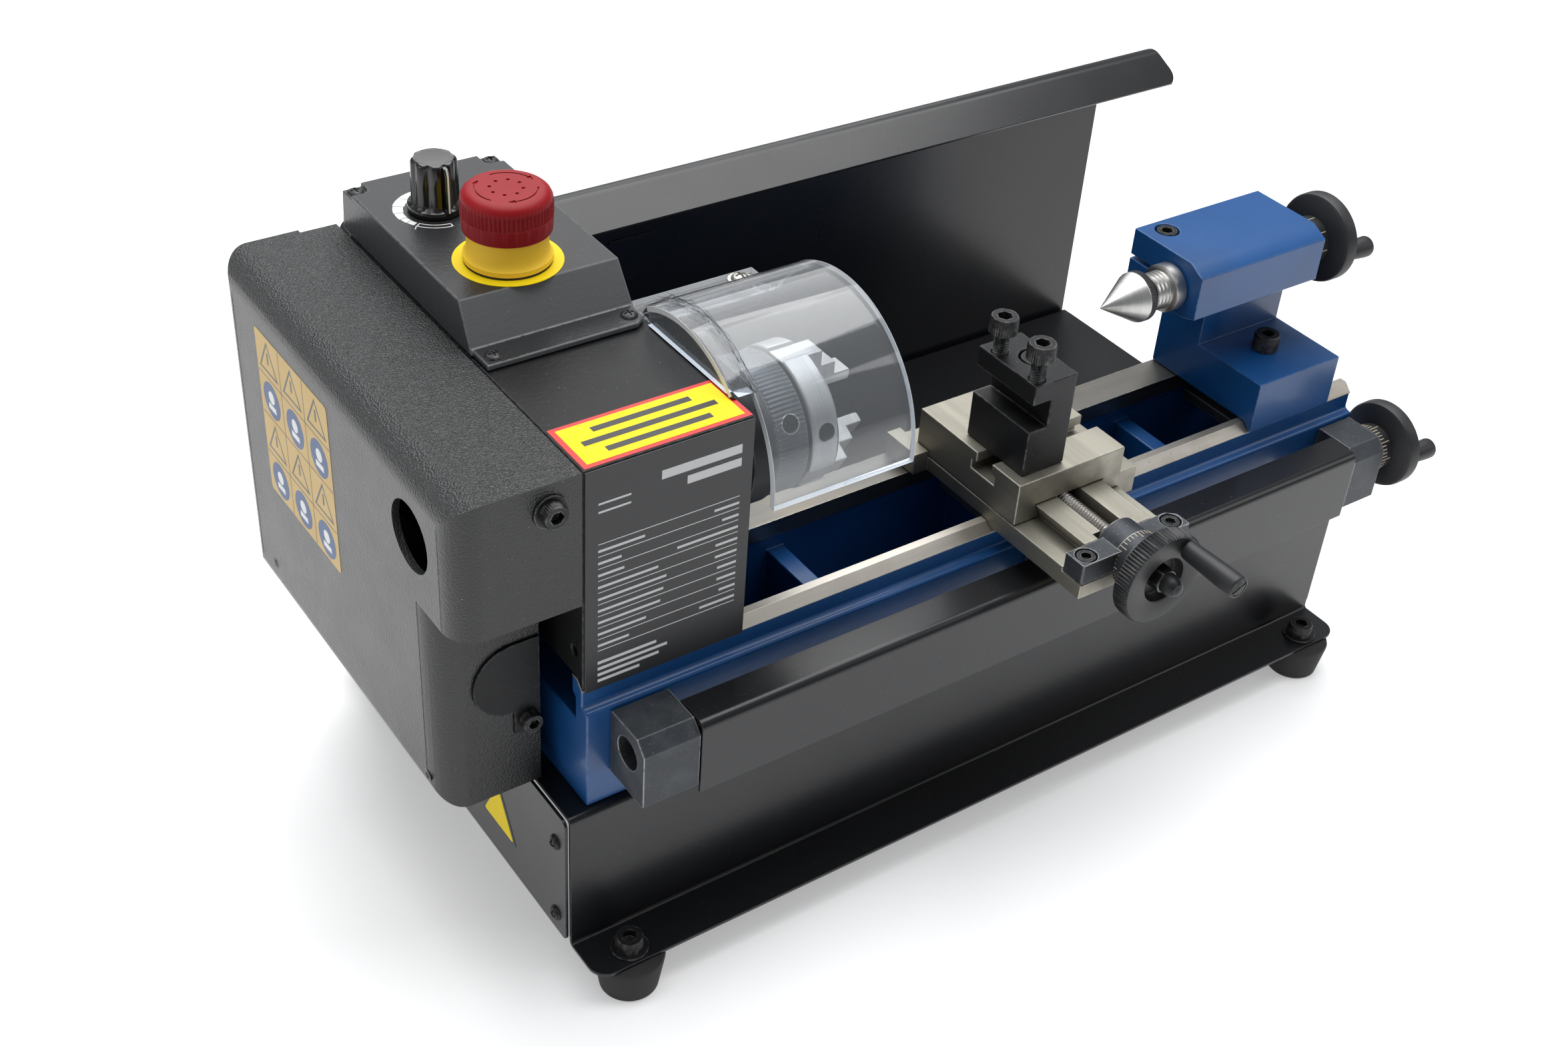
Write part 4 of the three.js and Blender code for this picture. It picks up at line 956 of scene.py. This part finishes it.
def handwheel(name, node, axis, u, v, profile, marks, body, teeth=0, add=()):
    """A wheel with a graduated collar behind it."""
    def knurl(i, radius, h, t):
        return radius - (0.3 * (1 + math.cos(teeth * t)) if teeth and i in (5, 6) else 0)
    piece(name, turned(axis, u, v, profile, 360 if teeth else 120, knurl), body, BAKELITE, node, add=add, limit=38)
    start, end = marks
    graduations(name + "_marks", axis, u, v, (9.1, 9.34), 0.16, start, start + (end - start) * 0.55, end, body)


def end_wheel(name, node, u, v, back, dial, body, add=()):
    """The dished wheel at the right end of a screw that runs along X."""
    r = WHEEL_R
    steps = [(3.6, 0), (8.9, 0), (9.2, 0.3), (9.2, dial), (r - 1.5, dial + 1), (r - 0.4, dial + 1.6), (r, dial + 2.6),
             (r, dial + 6.3), (r - 1, dial + 7.3), (r - 2.6, dial + 7.4), (13.4, dial + 6.2), (9, dial + 4.6),
             (8.2, dial + 6.2), (7.4, dial + 6.6), (3.6, dial + 6.6)]
    marks = back + 0.8, back + dial - 0.8
    handwheel(name, node, "X", u, v, [(a, back + b) for a, b in steps], marks, body, add=add)


def crank(name, node, axis, u, v, a, b, body):
    """A crank handle from a to b with a slotted screw in its end."""
    length, sign = abs(b - a), 1 if b > a else -1
    grip = [(0, 0), (2.6, 0), (3.3, 0.5), (3.5, 1.6), (4.05, length * 0.7), (4.1, length - 0.8),
            (3.85, length - 0.15), (3.6, length), (3.15, length), (3.05, length - 0.5), (0, length - 0.5)]
    head = [(0, length - 0.48), (2.9, length - 0.48), (2.9, length - 0.1), (2.6, length), (0, length)]
    grip, head = ([(r, a + sign * h) for r, h in profile] for profile in (grip, head))
    piece(name, turned(axis, u, v, grip, 64), body, BAKELITE, node, limit=40)
    low, high = sorted((a + sign * (length - 0.35), a + sign * (length + 1)))
    slot = spun(prism(axis, rect(u - 3, u + 3, v - 0.32, v + 0.32), low, high), axis, u, v, 25)
    piece(name + "_screw", turned(axis, u, v, head, 48), body, OXIDE, cut=[slot])


def lead_feed():
    ends = ([(4, 27), (4, 38), (4.6, 38.4)], [(4.6, 334), (4, 334.4), (4, 353.2), (3.4, 353.4), (3.4, 366)])
    threaded("lead_thread", "X", *LEAD, 5, 39, 333.6, 1.5, "lead_unit", TURNED, "leadscrew", ends, 20)
    screw_block("screw_block_left", "bearing_block_left", 16.2, 37, 27.2)
    screw_block("screw_block_right", "bearing_block_right", 336.2, 353.1, 336.4)
    path = [(-50.7, 83.7), (-50.7, 112.4), (-37.7, 112.4)]
    piece("lead_cover", prism("X", bent_sheet(path, 1.2, 2.4), 37.4, 335.7), "frame", GLOSS,
          "leadscrew_cover", bevel=0.2)
    end_wheel("lead_wheel", "lead_handwheel", *LEAD, 353.7, 6.2, "lead_unit")
    crank("lead_handle", "lead_crank", "X", -52.8, 102.5, 367.4, 379, "lead_handle")
    nut = [(-47.2, 96.5), (-31.4, 96.5), (-31.4, 123.2), (-36.6, 123.2), (-36.6, 109.4), (-47.2, 109.4)]
    piece("lead_nut", prism("X", nut, 186, 205), "carriage", GUNMETAL, "carriage_nut_bracket",
          cut=[rod("X", *LEAD, 5.4, 180, 210)], bevel=0.4)


def carriage():
    side = [(-72.9, 123.6), (-26.1, 123.6), (-24.3, 125.4), (27, 125.4), (27, 131), (-63.4, 131), (-63.4, 129.3),
            (-72.9, 129.3)]
    ears = [block(219, 228.5, -37, -6, 125.4, 131), block(220.2, 228.5, -37, -6, 130, 136.4),
            block(165, 172, 10, 27, 125.4, 131), block(165, 171.1, 10, 27, 130, 134)]
    rails = [prism("Y", [(183.6, 130.5), (190.6, 130.5), (190.6, 136.8), (180.6, 136.8)], -63, 22),
             prism("Y", [(201, 130.5), (208, 130.5), (211, 136.8), (201, 136.8)], -63, 22)]
    piece("saddle_plate", prism("X", side, 171.5, 219.8), "carriage", CROSS, "saddle",
          add=[block(180, 212, -20.6, 12.2, 114, 126)] + ears + rails,
          cut=[block(190.6, 200.8, -74, 23, 127, 140), rod("Y", *CROSS_AT, 10, -74, -60)], bevel=0.35)
    top = block(171.5, 219.8, -37.7, 17.2, 131.3, 148)
    tail = [(183.2, 130), (208.6, 130), (208.6, 131.3), (211.4, 137.2), (180.2, 137.2), (183.2, 131.3)]
    piece("cross_slide_block", top, "top_slide", CROSS, "cross_slide",
          cut=[prism("Y", tail, -39, 19), block(170, 221, -22.6, -14.8, 142, 149),
               block(170, 221, -25, -12.4, 140.4, 144)], bevel=0.5)
    for name, y in (("gib_screw_a", -28), ("gib_screw_b", 8)):
        cap_screw(name, "X", y, 134.6, 219.3, 1.6, 0.8, "top_slide")
    piece("cross_nut_block", block(190.9, 200.5, -22, -8, 127.3, 137), "top_slide", GUNMETAL, "cross_nut",
          cut=[rod("Y", *CROSS_AT, 3.9, -23, -7)], bevel=0.3)
    ends = ([(2.4, -92.2), (2.4, -87), (3, -87), (3, -61.6), (3.3, -61.2)], [])
    threaded("cross_thread", "Y", *CROSS_AT, 3.6, -60.8, 15, 1.25, "cross_unit", THREAD, "cross_screw", ends)
    bar = rounded([(171.5, -72.9, 0.8), (219.8, -72.9, 0.8), (219.8, -66.5, 0), (216.6, -63.7, 0), (171.5, -63.7, 0)])
    seats = (176.4, -68.4), (215, -68.2)
    piece("bracket_bar", prism("Z", bar, 129.6, 137.5), "carriage", GUNMETAL, "cross_bracket",
          add=[rod("Y", *CROSS_AT, 9.5, -76.2, -62.2, 96)],
          cut=[rod("Z", *seat, 3.9, 134, 140) for seat in seats] + [rod("Y", *CROSS_AT, 3.3, -80, -60)], bevel=0.22)
    for k, seat in enumerate(seats):
        cap_screw(f"bracket_screw_{k}", "Z", *seat, 134.0, 3.6, 3.3, "carriage")
    r = WHEEL_R
    wheel = [(3.3, -76.6), (9, -76.6), (9.3, -76.9), (9.3, -80), (r - 1, -80.2), (r, -81), (r, -86.3),
             (r - 0.8, -87.2), (9.2, -87.2), (8.6, -86.8), (8.2, -83.6), (7.6, -83), (3.3, -83)]
    handwheel("cross_wheel", "cross_handwheel", "Y", *CROSS_AT, wheel, (-76.8, -79.8), "cross_unit", teeth=84)
    sleeve = [(9.62, -76.5), (9.85, -76.2), (9.85, -71.2), (9.62, -70.9)]
    piece("cross_dial", turned("Y", *CROSS_AT, sleeve, 96), "cross_unit", GUNMETAL)
    graduations("cross_dial_marks", "Y", *CROSS_AT, (9.8, 9.93), 0.15, -71.3, -73.2, -74.4, "cross_unit")
    nut = [(0, -83), (4.6, -83), (4.6, -87.4), (4.2, -88), (3.7, -88.2), (3.7, -90.6), (3.2, -92.4), (2.2, -93.7),
           (0.9, -94.2), (0, -94.2)]
    piece("acorn_nut", turned("Y", *CROSS_AT, nut, 72, lambda i, r, h, t: hexed(r * 0.87, t) if i in (1, 2) else r),
          "cross_unit", OXIDE, limit=30)
    crank("cross_handle", "cross_crank", "Y", 203, 142.8, -87.5, -111.7, "cross_handle")


def tool_post():
    x, y = 187.6, -18.7
    holes = [rod("Z", x, y, 3.3, 148, 186), rod("Z", x, y, 5.5, 179.4, 186, 64)]
    holes += [rod("Z", 179.4, b, 2.9, 174, 186) for b in (-10.2, -29.6)]
    piece("post_block", block(175.6, 194, -33.8, -3.7, 148.3, 184.4), "post", OXIDE, "tool_post",
          cut=[block(170, 183.5, -35, 0, 166, 176.8)] + holes, bevel=0.45)
    cap_screw("post_bolt_head", "Z", x, y, 179.6, 5, 4.6, "top_slide", node="tool_post_bolt", shank=38.6)
    piece("t_nut", block(181.6, 193.6, -24.3, -13.1, 140.7, 143.7), "top_slide", OXIDE, bevel=0.3)
    for name, b in (("rear", -10.2), ("front", -29.6)):
        body = "post_screw_" + name
        cap_screw("post_screw_head_" + name, "Z", 179.4, b, 192.4, 5, 6, body, node="tool_screw_" + name)
        threaded("post_screw_thread_" + name, "Z", 179.4, b, 2.8, 175.9, 192.4, 1, body, OXIDE, depth=0.5)


def tailstock():
    head = [(-14, 172.1), (-8, 170.5), (22.3, 170.5), (22.3, 192.7), (-7.2, 192.7), (-14, 189.1)]
    base = [(-28.5, 122.4), (-27.9, 122.4), (-26.4, 123.6), (-24.4, 125.4), (26.3, 125.4), (26.3, 171), (4.9, 171),
            (4.9, 143.5), (-28.5, 143.5)]
    quill_screw, lock_bolt = (279.2, 15.5), (318.6, -9.6)
    cuts = [rod("X", 0, AXIS, 7.8, 268, 335, 64), block(268, 288, 0, 24, 180.6, 182.2),
            rod("Z", *quill_screw, 4.6, 188, 200), rod("Z", *quill_screw, 2.6, 170, 200),
            rod("Z", *lock_bolt, 3.4, 110, 150)]
    piece("tail_casting", prism("X", head, 269.4, 333.3), "tail", BLUE, "tailstock_casting",
          add=[prism("X", base, 297.5, 340.3), block(303, 335, -20.6, 12.2, 121, 126)],
          cut=cuts, bevel=0.35)
    ring = [(4.9, 256.8), (6.6, 256.8), (7, 257.2), (7, 258.2), (6.5, 258.6), (7, 259), (7, 260), (6.5, 260.4),
            (7, 260.8), (7, 261.8), (6.5, 262.2), (7, 262.6), (7, 263.6), (8.6, 264), (8.9, 264.3), (8.9, 268.5),
            (8.6, 268.8), (7.5, 269.1), (7.5, 331), (4.4, 331), (4.4, 300), (2, 290), (4.9, 275)]
    piece("quill_tube", lathed(ring, 96), "quill", TURNED, "tailstock_quill")
    cone = [(0, 234.7), (0.25, 234.9), (9.2, 250.5), (9.3, 250.8), (9.3, 251.2), (0, 251.2)]
    piece("centre_cone", lathed(cone, 96), "quill", CENTRE, "dead_centre")
    rest = [(0, 251.3), (9.3, 251.3), (9.3, 253.9), (8.9, 254.3), (6, 254.6), (6, 256.5), (4.6, 256.5),
            (4.4, 273), (0, 273)]

    def knurl(i, r, h, t):
        return r - (0.1 * (1 + math.cos(60 * t)) if i in (1, 2) else 0)
    piece("centre_collar", lathed(rest, 240, knurl), "quill", on("ground_steel", BAKELITE))
    shaft = rod("X", 0, AXIS, 4, 306, 346, 40)
    end_wheel("tail_wheel", "tail_handwheel", 0, AXIS, 333.7, 9, "tail_unit", add=[shaft])
    crank("tail_handle", "tail_crank", "X", -12.7, AXIS - 1.4, 350.5, 360.5, "tail_handle")
    cap_screw("quill_screw_head", "Z", *quill_screw, 188.2, 4.2, 4.4, "quill_lock", shank=13,
              node="quill_clamp_screw")
    cap_screw("lock_bolt_head", "Z", *lock_bolt, 143.7, 5, 6.6, "tail_lock", shank=31, node="tailstock_lock_bolt")
    piece("clamp_plate", block(306, 332, -22.6, 14.4, 111.4, 115.6), "tail", GUNMETAL,
          "tailstock_clamp_plate", cut=[rod("Z", *lock_bolt, 3.3, 100, 120)], bevel=0.4)


# ---------- stage ----------
def stage():
    bpy.ops.mesh.primitive_plane_add(size=14, location=(0, 0, 0))
    floor = bpy.context.object
    floor.name = "floor"
    paper = make_plain("paper", (0.86, 0.86, 0.865), 0.6, 40, 0.02, spots=0.03)
    shader = paper.node_tree.nodes["Principled BSDF"]
    shader.inputs["Emission Color"].default_value = (1, 1, 1, 1)
    shader.inputs["Emission Strength"].default_value = 0.34
    floor.data.materials.append(paper)
    world = bpy.data.worlds.new("studio")
    bpy.context.scene.world = world
    world.use_nodes = True
    sky = world.node_tree.nodes["Background"]
    sky.inputs[0].default_value, sky.inputs[1].default_value = (0.93, 0.96, 1, 1), 0.25
    lamps = (("top", (0.15, 0.3, 1.5), 1.6, 33, (0, 0, 0.1)), ("left", (-1.5, 0.3, 0.9), 1.0, 3.5, (0, 0, 0.12)),
             ("right", (1.3, -0.9, 1.1), 0.8, 3.5, (0, 0, 0.1)), ("back", (0.6, 1.55, 1.25), 1.3, 8, (0, 0, 0.12)))
    for name, spot, size, power, target in lamps:
        light = bpy.data.lights.new(name, "AREA")
        light.size, light.energy = size, power
        lamp = linked(name, light)
        lamp.location = spot
        lamp.rotation_euler = (Vector(target) - Vector(spot)).to_track_quat("-Z", "Y").to_euler()


def camera():
    turn, tilt, roll = (math.radians(v) for v in (-37.0329, 36.7814, 4.3417))
    back = Vector((math.sin(turn) * math.cos(tilt), -math.cos(turn) * math.cos(tilt), math.sin(tilt)))
    right = Vector((math.cos(turn), math.sin(turn), 0))
    up = back.cross(right)
    x = right * math.cos(roll) + up * math.sin(roll)
    y = up * math.cos(roll) - right * math.sin(roll)
    lens = bpy.data.cameras.new("camera")
    lens.lens, lens.sensor_width, lens.clip_start = 45.066, 36, 0.01
    eye = linked("camera", lens)
    spot = Matrix.Translation(at(-217.785, -423.175, 530.568))
    eye.matrix_world = spot @ Matrix((x, y, back)).transposed().to_4x4()
    bpy.context.scene.camera = eye


for build in (cabinet, splash_guard, bed, headstock, motor_unit, drive, belt_cover, control_box, chuck, guard,
              lead_feed, carriage, tool_post, tailstock, stage, camera):
    build()
bpy.context.scene.view_settings.view_transform = "Standard"
